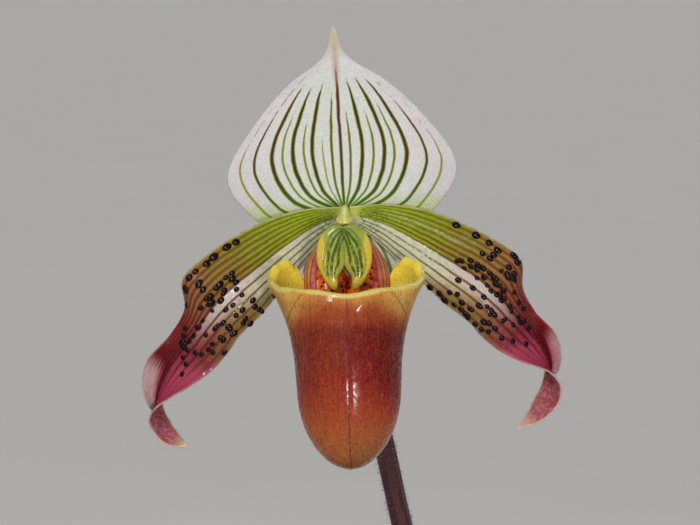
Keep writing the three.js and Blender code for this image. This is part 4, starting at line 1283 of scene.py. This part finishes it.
# %% Paint of the column
paint = Paint("shield_yellow_green", specular_ior_level=0.25, coat_weight=0.5, coat_roughness=0.1)
across, along = paint.mark("across"), paint.mark("along")
wander = (paint.noise(900.0, 2.0) - 0.5) * 0.16
broken = paint.between(paint.ease(paint.noise(1100.0, 2.0), 0.36, 0.5), 0.35, 1.0)
green_share = 0.0
for number, (_, low) in enumerate(SHIELD_VEINS):
    apart = abs(paint.mark(f"vein_{number}") + wander)
    strength = 1.0 if low < 0.4 else 0.45
    green_share = paint.math("MAXIMUM", green_share, paint.ease(apart, 0.15, 0.05) * strength)
fade = paint.ease(along, 0.78, 0.60) * paint.ease(along, 0.02, 0.08)
green_share = green_share * fade * broken
yellow = paint.mixed(paint.noise(500.0), tint(228, 206, 60), tint(212, 186, 52))
middle = paint.mixed(paint.ease(along, 0.45, 0.15), tint(176, 172, 58), tint(148, 162, 58))
margin = paint.between(paint.ease(along, 0.16, 0.42), 1.25, 0.42)
margin = paint.between(paint.ease(along, 0.62, 0.80), margin, -0.9)
base = paint.mixed(paint.ease(across, margin, margin - 0.3), yellow, middle)
tongue_edge = paint.between(paint.ease(along, 0.25, 0.62), -0.85, -0.45)
tongue = paint.ease(across, tongue_edge, tongue_edge - 0.2)
base = paint.mixed(tongue * 0.8, base, tint(178, 164, 66))
shady_top = paint.ease(along, 0.24, 0.08) * paint.ease(across, 0.35, -0.1)
base = paint.mixed(shady_top * 0.45, base, tint(98, 116, 34))
colour = paint.mixed(green_share, base, tint(62, 100, 0))
# The groove where the two halves meet is painted darker: painted shade.
groove = paint.ease(across, -0.84, -0.97) * paint.ease(along, 0.62, 0.5)
colour = paint.mixed(groove * 0.7, colour, tint(84, 84, 40))
colour = clouded(paint, colour, 0.7, 0.18)
grain = tissue(paint, 0.22)[0]
SHIELD_SKIN = paint.cover(colour, 0.3, grain + green_share * -1.2, 0.07)

paint = Paint("column_pale_green", specular_ior_level=0.15)
colour = paint.mixed(paint.ease(paint.mark("along"), 0.2, 0.8), tint(214, 222, 126), tint(255, 252, 150))
colour = paint.mixed(paint.ease(paint.noise(800.0, 3.0), 0.45, 0.65) * 0.4, colour, tint(150, 168, 60))
colour = clouded(paint, colour, 0.6, 0.16)
COLUMN_SKIN = paint.cover(colour, 0.45, tissue(paint, 0.2)[0], 0.08)

paint = Paint("stigma_grey_green", coat_weight=0.8, coat_roughness=0.08)
colour = paint.mixed(paint.noise(800.0), tint(128, 144, 104), tint(172, 176, 140))
STIGMA_SKIN = paint.cover(colour, 0.25, paint.noise(1800.0), 0.05)
bloom_middle.build("column_and_shield", [SHIELD_SKIN, COLUMN_SKIN, STIGMA_SKIN], "column", "column")

# %% [markdown]
# ## Flower stem
#
# The stem is dark purple and densely covered with short hairs, which catch the light as a pale rim. The
# stem itself has a few shallow grooves. The hairs start anywhere on it, seeded, and lean a little upward.

# %% Stem shape
STEM_LINE = [
    (0, 0, 62.5), (2.4, -0.6, 100), (3.2, -2.2, 140), (2.2, -4.6, 180), (-1.6, -7.6, 215), (-6.6, -10.2, 240),
    (-11.3, -11.5, 262), (-12.83, -11.43, 271.8)]
STEM_RADII = (2.3, 1.6)


def stem_radius(t, angle):
    return mix(*STEM_RADII, t) * (1 + 0.035 * np.cos(7 * angle + 9 * t) + 0.02 * np.sin(60 * t + 2 * angle))


def downy(form, line, radius, count, reach, width, seed, place, turn, ends=(0.0, 1.0), finish=1):
    """Hairs all over a stem. place and turn take them to the plant's frame."""
    random = np.random.default_rng(seed)
    t, angle = random.uniform(*ends, count), random.uniform(0, 2 * math.pi, count)
    at, along, side, up = stem_frame(line, t)
    out = side * np.cos(angle)[:, None] + up * np.sin(angle)[:, None]
    roots = at + out * (radius(t, angle) * 0.97)[:, None]
    ways = unit(out + 0.35 * along + 0.28 * random.normal(size=out.shape))
    points, faces = hairs(place(roots), ways @ turn.T, random.uniform(*reach, count), width)
    form.add(points, faces, finish=finish)


STEM_HAIRS = 6500
flower_stem = Form()
flower_stem.add(*stem(STEM_LINE, 56, 420, stem_radius))
downy(flower_stem, STEM_LINE, stem_radius, STEM_HAIRS, (0.5, 1.15), 0.055, 11,
      lambda p: p, np.eye(3), ends=(0.06, 1.0))

paint = Paint("stem_purple", specular_ior_level=0.3, sheen_weight=0.2, sheen_roughness=0.4)
streaks = paint.noise(180.0, 4.0, vector=paint.joined(paint.mark("round") * 0.05, paint.mark("along") * 0.06))
colour = paint.mixed(paint.ease(streaks, 0.4, 0.65), tint(58, 22, 30), tint(84, 42, 40))
colour = paint.mixed(paint.ease(paint.mark("along"), 0.12, 0.0), colour, tint(110, 124, 70))
colour = clouded(paint, colour, 2.5, 0.22)
STEM_SKIN = paint.cover(colour, 0.55, streaks + paint.noise(1300.0), 0.08)

paint = Paint("hair_silvery", sheen_weight=0.5)
SILVER_HAIR = paint.cover(paint.mixed(paint.noise(400.0), tint(132, 104, 108), tint(84, 50, 58)), 0.4)
flower_stem.build("flower_stem_hairy", [STEM_SKIN, SILVER_HAIR], "scape", "stem")

# %% [markdown]
# ## Ovary and bract
#
# Behind the bloom the ovary arches over from the stem: six ribs, green to purple, and hairy like the
# stem. A pointed bract clasps its foot. The bract is a blade wrapped round a stem's line: its width is an
# angle there.

# %% Ovary and bract
OVARY_LINE = [(1.1, 26.6, -17.6), (1.1, 26.6, -9.5), (0.9, 22.6, -2.4), (0.6, 14.5, 0.8), (0.1, 4.1, 0.2)]
OVARY_RADII = [[1.6], [2.1], [2.5], [2.45], [2.2]]
BRACT_RADII, BRACT_FLARE, BRACT_WRAP, BRACT_REACH = (2.55, 3.1), 1.5, 118.0, 0.5


def ovary_radius(t, angle):
    ribs = 0.17 * np.cos(6 * angle) + 0.05 * np.cos(12 * angle)
    return through(OVARY_RADII, t)[..., 0] + ribs * np.sin(math.pi * np.clip(t, 0.02, 0.98)) ** 0.4


def bract_surface(u, t):
    at, along, side, up = stem_frame(OVARY_LINE, t * BRACT_REACH)
    wrap = math.radians(BRACT_WRAP) * u * np.sqrt(np.maximum(1 - t**1.6, 0.0004))
    radius = (mix(*BRACT_RADII, smooth(t / 0.25)) + BRACT_FLARE * t)[..., None]
    return at + side * radius * np.sin(wrap)[..., None] - up * radius * np.cos(wrap)[..., None]


OVARY_HAIRS, BRACT_HAIRS = 2600, 150
ovary = Form()
points, faces, marks = stem(OVARY_LINE, 96, 120, ovary_radius)
ovary.add(on_plant(points), faces, marks)
downy(ovary, OVARY_LINE, ovary_radius, OVARY_HAIRS, (0.35, 0.8), 0.05, 12,
      on_plant, BLOOM_TURN, ends=(0.02, 0.93))

bract = Form()
points, faces, marks = blade(
    bract_surface, 60, 90, lambda u, t: 0.45 - 0.15 * u * u, (0, 1, -0.4),
    front=lambda u, t: 0.35 * np.exp(-((u / 0.05) ** 2)) * (1 - t) + 0.02 * np.cos(40 * u))
bract.add(on_plant(points), faces, marks)
bract_random = np.random.default_rng(13)
for edge in (-1.0, 1.0):
    t = bract_random.uniform(0.02, 0.98, BRACT_HAIRS)
    root = bract_surface(edge + 0 * t, t)
    out = unit(root - bract_surface(0.95 * edge + 0 * t, t))
    ways = unit(out + 0.4 * bract_random.normal(size=out.shape))
    lengths = bract_random.uniform(0.4, 0.9, BRACT_HAIRS)
    points, faces = hairs(on_plant(root), ways @ BLOOM_TURN.T, lengths, 0.05)
    bract.add(points, faces, finish=1)

paint = Paint("ovary_green_purple", specular_ior_level=0.35, sheen_weight=0.25, sheen_roughness=0.4)
ribs = paint.math("COSINE", paint.mark("round") * (6 * math.pi))
colour = paint.mixed(paint.ease(ribs, -0.6, 0.8), tint(92, 50, 44), tint(142, 150, 74))
colour = paint.mixed(paint.ease(paint.mark("along"), 0.85, 1.0), colour, tint(176, 190, 104))
colour = clouded(paint, colour, 1.8, 0.22)
OVARY_SKIN = paint.cover(colour, 0.5, paint.noise(1500.0), 0.06)

paint = Paint("bract_green_flushed", specular_ior_level=0.4, coat_weight=0.1)
nerves = paint.math("COSINE", paint.mark("across") * 44.0)
colour = paint.mixed(paint.ease(nerves, 0.2, 1.0), tint(128, 146, 66), tint(92, 108, 46))
colour = paint.mixed(paint.ease(paint.mark("along"), 0.5, 1.0), colour, tint(138, 96, 66))
colour = paint.mixed(paint.ease(paint.noise(260.0, 2.0), 0.5, 0.68) * 0.5, colour, tint(104, 48, 46))
BRACT_SKIN = paint.cover(colour, 0.45, nerves + paint.noise(1200.0), 0.04)
ovary.build("ovary_ribbed", [OVARY_SKIN, SILVER_HAIR], "ovary", "ovary_green")
bract.build("bract_blade", [BRACT_SKIN, SILVER_HAIR], "bract", "ovary_green")

# %% [markdown]
# ## Leaves
#
# The leaves are thick straps in two ranks, folded along the middle at the foot and nearly flat at the
# tip. Each follows a bow that is added up step by step from the slope at its foot to the slope at its
# tip. The upper face has a groove along the middle, the lower face a keel. Fine lines run along the leaf.

# %% Leaf shape
LEAF_FOOT = 62.0
LEAF_PROFILE = [[0.42], [0.5], [0.66], [0.83], [0.95], [1.0], [0.97], [0.84], [0.56], [0.06]]
FOLD_AT_FOOT, FOLD_AT_TIP = 52.0, 9.0
# Direction, distance of the foot, length, width, rise at the foot and at the tip, drift, twist.
GROWN = [
    (-6, 15.4, 118, 33, 58, -30, -18, 12), (172, 15.6, 124, 34, 60, -26, 14, -10),
    (4, 10.2, 146, 37, 72, -8, 12, -12), (184, 10.4, 152, 38, 74, -4, -12, 9),
    (-2, 5.4, 112, 31, 83, 34, -16, 8)]
YOUNG = [(50, 6.6, 68, 23, 80, 0, -8, 8), (148, 6.6, 76, 25, 80, 6, 8, -8), (84, 1.6, 56, 18, 86, 46, 6, 0)]
GROWTHS = {"leaf": ((0, 0), GROWN), "young_leaf": ((3, 19), YOUNG)}
LEAF_GRID, LEAF_THICK = (52, 88), (1.25, 0.6)
UP = np.array([0, 0, 1.0])


def leaf_line(length, rise, end, steps=24):
    slopes = np.radians(mix(rise, end, ((np.arange(steps) + 0.5) / steps) ** 1.4))
    out = np.concatenate([[0], np.cumsum(np.cos(slopes))]) * length / steps
    up = np.concatenate([[0], np.cumsum(np.sin(slopes))]) * length / steps
    return np.stack([out, up, np.concatenate([[math.radians(rise)], slopes])], axis=-1)


def leaf_surface(growth, leaf):
    toward, foot_out, length, width, rise, end, drift, twist = leaf
    line = leaf_line(length, rise, end)

    def surface(u, t):
        out, up, slope = np.moveaxis(through(line, t), -1, 0)
        heading = np.radians(toward + drift * t * t)
        outward = np.stack([np.cos(heading), np.sin(heading), 0 * heading], axis=-1)
        sideways = np.stack([-np.sin(heading), np.cos(heading), 0 * heading], axis=-1)
        upward = -outward * np.sin(slope)[..., None] + UP * np.cos(slope)[..., None]
        fold = np.radians(mix(FOLD_AT_FOOT, FOLD_AT_TIP, smooth(t / 0.45)))
        turn = np.radians(twist * t)
        half = width / 2 * through(LEAF_PROFILE, t)[..., 0]
        lift = half * (np.sqrt(u * u + 0.01) - 0.1) * np.sin(fold)
        lift = lift + 0.022 * width * np.abs(u) ** 3 * np.sin(11 * t + 1.7 * u + toward) * smooth(t / 0.3)
        flat = half * u * np.cos(fold)
        base = np.array([*growth, LEAF_FOOT]) + outward * (foot_out + out)[..., None] + UP * up[..., None]
        return (base + sideways * (flat * np.cos(turn) - lift * np.sin(turn))[..., None]
                + upward * (flat * np.sin(turn) + lift * np.cos(turn))[..., None])

    return surface


def midline(width, height, spread, fade):
    """A groove or a keel along the middle of a leaf, which fades out before the tip."""
    return lambda u, t: height * np.exp(-((u * width / 2 / spread) ** 2)) * smooth((1 - t) / fade)


leaf_forms = {}
for growth_name, (growth, leaves) in GROWTHS.items():
    for number, leaf in enumerate(leaves, 1):
        width = leaf[3]
        form = Form()
        form.add(*blade(
            leaf_surface(growth, leaf), *LEAF_GRID, lambda u, t: mix(*LEAF_THICK, u * u), UP,
            front=midline(width, -0.45, 1.1, 0.2), back=midline(width, 0.75, 1.0, 0.3), roundness=16))
        leaf_forms[f"{growth_name}_{number}"] = form

# %% [markdown]
# ### Mottling
#
# The upper face of the leaves is a mosaic of dark and pale green, in blocks that follow the leaf's fine
# lines. The blocks are one set of cells, stretched along the leaf, and a coarse noise gathers the dark
# ones in groups. The lower face is paler with a purple flush of dots near the foot.

# %% Mottling group
mottling, net, given, out = shared(
    "Leaf mottling",
    {"Across": ("number", 0.0), "Far": ("number", 0.0),
     "Block Width": ("number", 1.6), "Block Length": ("number", 6.0)},
    {"Dark": "number", "Lines": "number"})
wobble = (net.noise(260.0, 2.0) - 0.5) * 2.2
x = (given["Across"] + wobble) / given["Block Width"]
y = (given["Far"] + wobble * 2.0) / given["Block Length"]
stretched = net.joined(x, y)
blocks = net.add("ShaderNodeSeparateColor", {0: net.cells(1.0, "Color", vector=stretched, chaos=0.75)})
large = net.noise(0.55, 1.0, vector=stretched)
net.plug(net.ease(blocks * 0.5 + large * 0.9, 0.56, 0.82), out["Dark"])
LINE_SPACING = 1.35
lines = net.math("COSINE", (given["Across"] + wobble * 0.15) * (2 * math.pi / LINE_SPACING))
net.plug(net.ease(lines, 0.1, 1.0), out["Lines"])

# %% Leaf paint
paint = Paint("leaf_mottled", specular_ior_level=0.35, coat_weight=0.08, coat_roughness=0.3)
across, wide, far, along, under = paint.marks("across", "wide", "far", "along", "back")
sideways = across * wide
dark, lines = paint.use(mottling, {"Across": sideways, "Far": far})
pale_green = paint.mixed(paint.noise(120.0), tint(122, 150, 96), tint(142, 164, 112))
deep_green = paint.mixed(paint.noise(160.0), tint(46, 84, 40), tint(62, 102, 48))
top = paint.mixed(dark, pale_green, deep_green)
top = paint.mixed(lines * 0.28, top, tint(50, 86, 42))
top = paint.mixed(paint.ease(abs(sideways), 1.0, 0.2), top, tint(74, 104, 52))
top = paint.mixed(paint.ease(along, 0.16, 0.02), top, tint(150, 162, 96))
rim = paint.use(margin_band, {"Across": across, "Half Width": wide, "Band": 0.5})
top = paint.mixed(rim * 0.5, top, tint(150, 168, 110))
below = paint.mixed(lines * 0.35, tint(128, 150, 92), tint(96, 122, 68))
dots = paint.ease(paint.cells(1300.0), 0.42, 0.25) * paint.ease(along, 0.6, 0.1)
below = paint.mixed(dots * 0.7, below, tint(92, 44, 62))
colour = paint.mixed(under, top, below)
colour = clouded(paint, colour, 14.0, 0.16)
relief = lines * -1.0 + paint.noise(900.0, 2.0) * 0.6
LEAF_SKIN = paint.cover(colour, paint.between(paint.noise(90.0, 3.0), 0.3, 0.48), relief, 0.07)
for node_name, form in leaf_forms.items():
    form.build(node_name + "_blade", [LEAF_SKIN], node_name, "leaf")

# %% [markdown]
# ## Bark
#
# Orchids grow in chips of bark, not in soil. A chip starts as a block with rounded edges, gets uneven
# corners and a few flaked layers, and is thrown on the heap at a seeded angle. The chips lie by the golden
# angle, which spreads them evenly, in three layers over a dark filling.

# %% Bark chips
POT_FLOOR = 6.0
POT = {"foot": 34.0, "shoulder": 43.5, "rim": 48.0, "height": 88.0, "rim_height": 20.0, "wall": 4.2}
GOLDEN_ANGLE = math.pi * (3 - math.sqrt(5))


def pot_inside(z):
    return mix(POT["foot"], POT["shoulder"], z / (POT["height"] - POT["rim_height"])) - POT["wall"]


def cube_grid(cells):
    """The surface of a cube from -1 to 1, with each face in cells by cells squares, and shared edges."""
    line = np.linspace(-1, 1, cells + 1)
    a, b = np.meshgrid(line, line, indexing="ij")
    one = np.ones_like(a)
    sides = []
    for axis in range(3):
        for sign in (-1, 1):
            side = np.roll([sign * one, a * sign, b], axis, axis=0)
            sides.append(np.stack(side, axis=-1).reshape(-1, 3))
    place = np.arange((cells + 1) ** 2).reshape(cells + 1, cells + 1)
    quad = np.stack([place[:-1, :-1], place[1:, :-1], place[1:, 1:], place[:-1, 1:]], axis=-1).reshape(-1, 4)
    points = np.vstack(sides)
    quads = np.vstack([quad + i * (cells + 1) ** 2 for i in range(6)])
    merged, where = np.unique(np.round(points, 6), axis=0, return_inverse=True)
    return merged, where.ravel()[quads]


CHIP_POINTS, CHIP_FACES = cube_grid(5)
# Half the length, width and thickness of a chip, from the smallest to the largest.
CHIP_HALVES = ((6.5, 10.5), (4.2, 6.8), (1.9, 3.6))


def chip(random, size):
    """One chip round the origin: a rounded block with pulled corners and flaked layers."""
    p = CHIP_POINTS.copy()
    p = mix(p, unit(p) * 1.25, 0.22)
    weights = [(1 + sx * p[:, 0]) * (1 + sy * p[:, 1]) * (1 + sz * p[:, 2]) / 8
               for sx in (-1, 1) for sy in (-1, 1) for sz in (-1, 1)]
    p = p + sum(np.outer(w, random.normal(scale=0.17, size=3)) for w in weights)
    p = p * np.array([random.uniform(*reach) for reach in CHIP_HALVES]) * size
    for _ in range(5):
        wave = random.normal(size=3) * np.array([0.35, 0.7, 1.5])
        p = p + np.outer(np.sin(p @ wave + random.uniform(0, 6)), random.normal(scale=0.17, size=3))
    return p


def spun(random, points, lean):
    """Turns a chip any way round, and leans it a little."""
    turn = turning("Z", random.uniform(0, 360)) @ turning("X", math.degrees(random.normal(scale=lean)))
    turn = turn @ turning("Y", math.degrees(random.normal(scale=lean * 0.7)))
    return points @ turn.T


# %% Heap
bark = Form()
bark_random = np.random.default_rng(7)
profile = [(0.4, POT_FLOOR + 0.4), (pot_inside(POT_FLOOR) - 2.4, POT_FLOOR + 0.4), (pot_inside(9) - 0.4, 9.0),
           (pot_inside(69) - 0.4, 69.0), (30, 70.0), (0.4, 71.5)]
t, angle = along_and_round(60, 96)
radius = np.interp(t, np.linspace(0, 1, len(profile)), [r for r, z in profile])
level = np.interp(t, np.linspace(0, 1, len(profile)), [z for r, z in profile])
crumbs = 0.8 * np.sin(radius * 1.7 + 3 * angle) * np.sin(5 * angle + radius) * (t > 0.62)
filling = np.stack([radius * np.cos(angle), radius * np.sin(angle), level + crumbs], axis=-1)
bark.add(*skin(filling, {"shade": 0 * t}))

# No chip lies where a leaf or the stem stands.
feet = np.meshgrid(np.linspace(-1, 1, 7), np.linspace(0.02, 0.2, 8))
planted = [leaf_surface(growth, leaf)(*feet).reshape(-1, 3)
           for growth, leaves in GROWTHS.values() for leaf in leaves]
planted = np.vstack([*planted, through(STEM_LINE, np.linspace(0, 0.12, 8))])
CLEARANCE = 1.6
# Height, number of tries and size of the chips in each layer.
LAYERS = [(70.5, 110, 0.95), (73.6, 105, 0.85), (76.0, 46, 0.62)]
chips = 0
for layer, (height, count, size) in enumerate(LAYERS):
    for i in range(count):
        reach = (pot_inside(height) - 6.5 * size) * math.sqrt((i + 0.5) / count)
        turn = i * GOLDEN_ANGLE + 1.9 * layer
        level = height + bark_random.normal(scale=0.7)
        at = np.array([reach * math.cos(turn), reach * math.sin(turn), level])
        body = chip(bark_random, size * bark_random.uniform(0.6, 1.0))
        body = spun(bark_random, body, 0.28 + 0.12 * layer) + at
        shade = bark_random.random()
        near = np.linalg.norm(planted[:, None] - body[None, ::6], axis=-1).min()
        outside = np.hypot(body[:, 0], body[:, 1]).max() - pot_inside(height) + 0.5
        if outside > 0:
            body[:, :2] -= outside * at[:2] / np.linalg.norm(at[:2])
        if near > CLEARANCE:
            bark.add(body, [CHIP_FACES], {"shade": shade})
            chips += 1
print("chips on the heap:", chips)

# %% Bark paint
paint = Paint("bark_red_brown", specular_ior_level=0.3)
shade = paint.mark("shade")
layers = paint.noise(260.0, 6.0, rough=0.62, warp=0.6)
fine = paint.noise(1500.0, 4.0, rough=0.7)
wood = paint.ramp(shade, [
    (0.0, tint(60, 38, 26)), (0.3, tint(104, 66, 42)), (0.6, tint(132, 86, 54)), (0.85, tint(150, 104, 70)),
    (1.0, tint(112, 84, 64))])
colour = paint.mixed(paint.ease(layers, 0.38, 0.62), paint.mixed(0.55, wood, tint(54, 32, 22)), wood)
colour = paint.mixed(paint.ease(fine, 0.55, 0.8) * 0.5, colour, tint(176, 134, 98))
colour = clouded(paint, colour, 9.0, 0.25)
BARK_SKIN = paint.cover(colour, paint.between(fine, 0.75, 0.95), layers + fine * 0.5, 0.7)
heap = bark.build("bark_chips", [BARK_SKIN], "bark_medium", "bark")
heap.data.set_sharp_from_angle(angle=math.radians(42))

# %% [markdown]
# ## Pot
#
# A plain flower pot is thrown or pressed, so it is round but never perfect: the clay shows faint turning
# rings, the rim is a soft band, and the foot is a little worn. The profile is drawn once and turned, with
# tiny waves on the wall. Four drain holes are cut through the floor with a Boolean, and applied, so the
# mesh really has the holes. Lime from the water leaves a pale bloom, most of it under the rim.

# %% Pot shape
DRAINS, DRAIN_RADIUS, DRAIN_CIRCLE = 4, 4.2, 19.0


def corner(r, z, size, start):
    """A quarter of a circle round r and z, from the angle start."""
    angles = np.radians(np.linspace(start, start + 90, 7))
    return [(r + size * math.cos(a), z + size * math.sin(a)) for a in angles]


def pot_profile():
    """Radius and height, from the middle of the foot round the outside and back to the middle."""
    foot, shoulder, rim, top, band, _ = POT.values()
    floor_edge = pot_inside(POT_FLOOR)
    wall_up = [(mix(foot, shoulder, f), mix(1.2, top - band - 1.0, f)) for f in np.linspace(0, 1, 60)]
    band_up = [(mix(rim, rim + 0.6, f), mix(top - band + 1.0, top - 1.8, f)) for f in np.linspace(0, 1, 16)]
    inner = [(pot_inside(z), z) for z in np.linspace(top - 1.6, POT_FLOOR + 2.0, 50)]
    return ([(0.3, 0.0), (8.0, 0.0), (16.0, 0.0), (25.0, 0.0), (foot - 1.2, 0.0)]
            + corner(foot - 1.2, 1.2, 1.2, -90)[1:-1] + wall_up
            + [(shoulder + 0.5, top - band - 0.35), (rim - 1.1, top - band - 0.05)]
            + corner(rim - 1.0, top - band + 1.0, 1.0, -90)[1:-1] + band_up
            + corner(rim - 1.0, top - 1.6, 1.6, 0) + [(pot_inside(top) + 1.6, top)]
            + corner(pot_inside(top) + 1.6, top - 1.6, 1.6, 90)[1:] + inner
            + [(floor_edge - 0.5, POT_FLOOR + 0.5), (floor_edge - 2.0, POT_FLOOR), (14.0, POT_FLOOR),
               (0.3, POT_FLOOR)])


profile = np.array(pot_profile())
POT_SIDES = 256
angle = np.arange(POT_SIDES) * 2 * math.pi / POT_SIDES
r, z = profile[:, :1], profile[:, 1:]
on_wall = smooth((z - 1.0) / 3) * smooth((r - 20) / 10)
throwing = 0.10 * np.sin(z * 2.1 + 0.5 * np.sin(angle)) + 0.06 * np.sin(z * 5.3 + angle)
ripple = on_wall * (throwing + 0.14 * np.sin(2 * angle + 0.03 * z))
rings = np.stack([(r + ripple) * np.cos(angle), (r + ripple) * np.sin(angle), z + 0 * angle], axis=-1)
pot_form = Form()
pot_form.add(*skin(rings))

# %% Pot paint
paint = Paint("clay_terracotta", specular_ior_level=0.25)
_, _, up = paint.every(paint.add("ShaderNodeSeparateXYZ", {0: paint.place()}))
level = up * 1000.0
grit = paint.noise(1400.0, 5.0, rough=0.7)
body = paint.mixed(paint.noise(45.0, 4.0), tint(186, 104, 68), tint(204, 128, 90))
body = paint.mixed(paint.ease(grit, 0.56, 0.74) * 0.4, body, tint(150, 78, 50))
bloom_cloud = paint.noise(38.0, 6.0, rough=0.66)
under_rim = paint.ease(level, 52.0, 66.0) * paint.ease(level, 69.5, 67.0)
low_band = paint.ease(level, 16.0, 2.0)
lime = paint.ease(bloom_cloud, 0.54, 0.72) + (under_rim + low_band) * paint.ease(bloom_cloud, 0.36, 0.6)
lime = paint.math("MINIMUM", lime, 1.0) * 0.55
colour = paint.mixed(lime, body, tint(224, 204, 184))
damp = paint.ease(level, 40.0, 6.0) * paint.ease(paint.noise(70.0, 4.0), 0.5, 0.66)
colour = paint.mixed(damp * 0.35, colour, tint(120, 112, 70))
rings_height = paint.math("SINE", level * 4.4 + paint.noise(22.0, 3.0) * 14.0)
colour = paint.mixed(paint.ease(rings_height, 0.3, 1.0) * 0.10, colour, tint(140, 74, 48))
relief = rings_height * 0.25 + grit
CLAY = paint.cover(colour, paint.between(grit, 0.78, 0.95), relief, 0.22)
pot_piece = pot_form.build("pot_clay", [CLAY], "pot", "clay")

# %% Drain holes
for i in range(DRAINS):
    turn = math.radians(45 + 360 * i / DRAINS)
    bpy.ops.mesh.primitive_cylinder_add(
        vertices=48, radius=DRAIN_RADIUS * MM, depth=0.03,
        location=(DRAIN_CIRCLE * MM * math.cos(turn), DRAIN_CIRCLE * MM * math.sin(turn), 0.0))
    punch = bpy.context.object
    cut = pot_piece.modifiers.new("drain", "BOOLEAN")
    cut.object, cut.operation, cut.solver = punch, "DIFFERENCE", "EXACT"
    ready = bpy.data.meshes.new_from_object(pot_piece.evaluated_get(bpy.context.evaluated_depsgraph_get()))
    pot_piece.modifiers.clear()
    pot_piece.data = ready
    bpy.data.objects.remove(punch)
ready.name = "pot_clay"
ready.set_sharp_from_angle(angle=math.radians(40))
print("the pot has", len(ready.polygons), "faces after the cuts")

# %% [markdown]
# ## Floor
#
# The plant stands on a plain pale floor. It is very large, because the camera of the other views stands
# far away, and its far edge must not show. The finish is matt, with a faint unevenness.

# %% Floor
FLOOR_HALF = 60.0
mesh = bpy.data.meshes.new("floor")
corners = [(x * FLOOR_HALF, y * FLOOR_HALF, 0) for x, y in ((-1, -1), (1, -1), (1, 1), (-1, 1))]
mesh.from_pydata(corners, [], [(0, 1, 2, 3)])
floor = bpy.data.objects.new("floor", mesh)
bpy.context.collection.objects.link(floor)
paint = Paint("floor_pale", specular_ior_level=0.2)
pale = paint.mixed(paint.noise(6.0, 2.0), tint(224, 223, 220), tint(228, 227, 224))
mesh.materials.append(paint.cover(pale, 0.85))
print("floor laid")
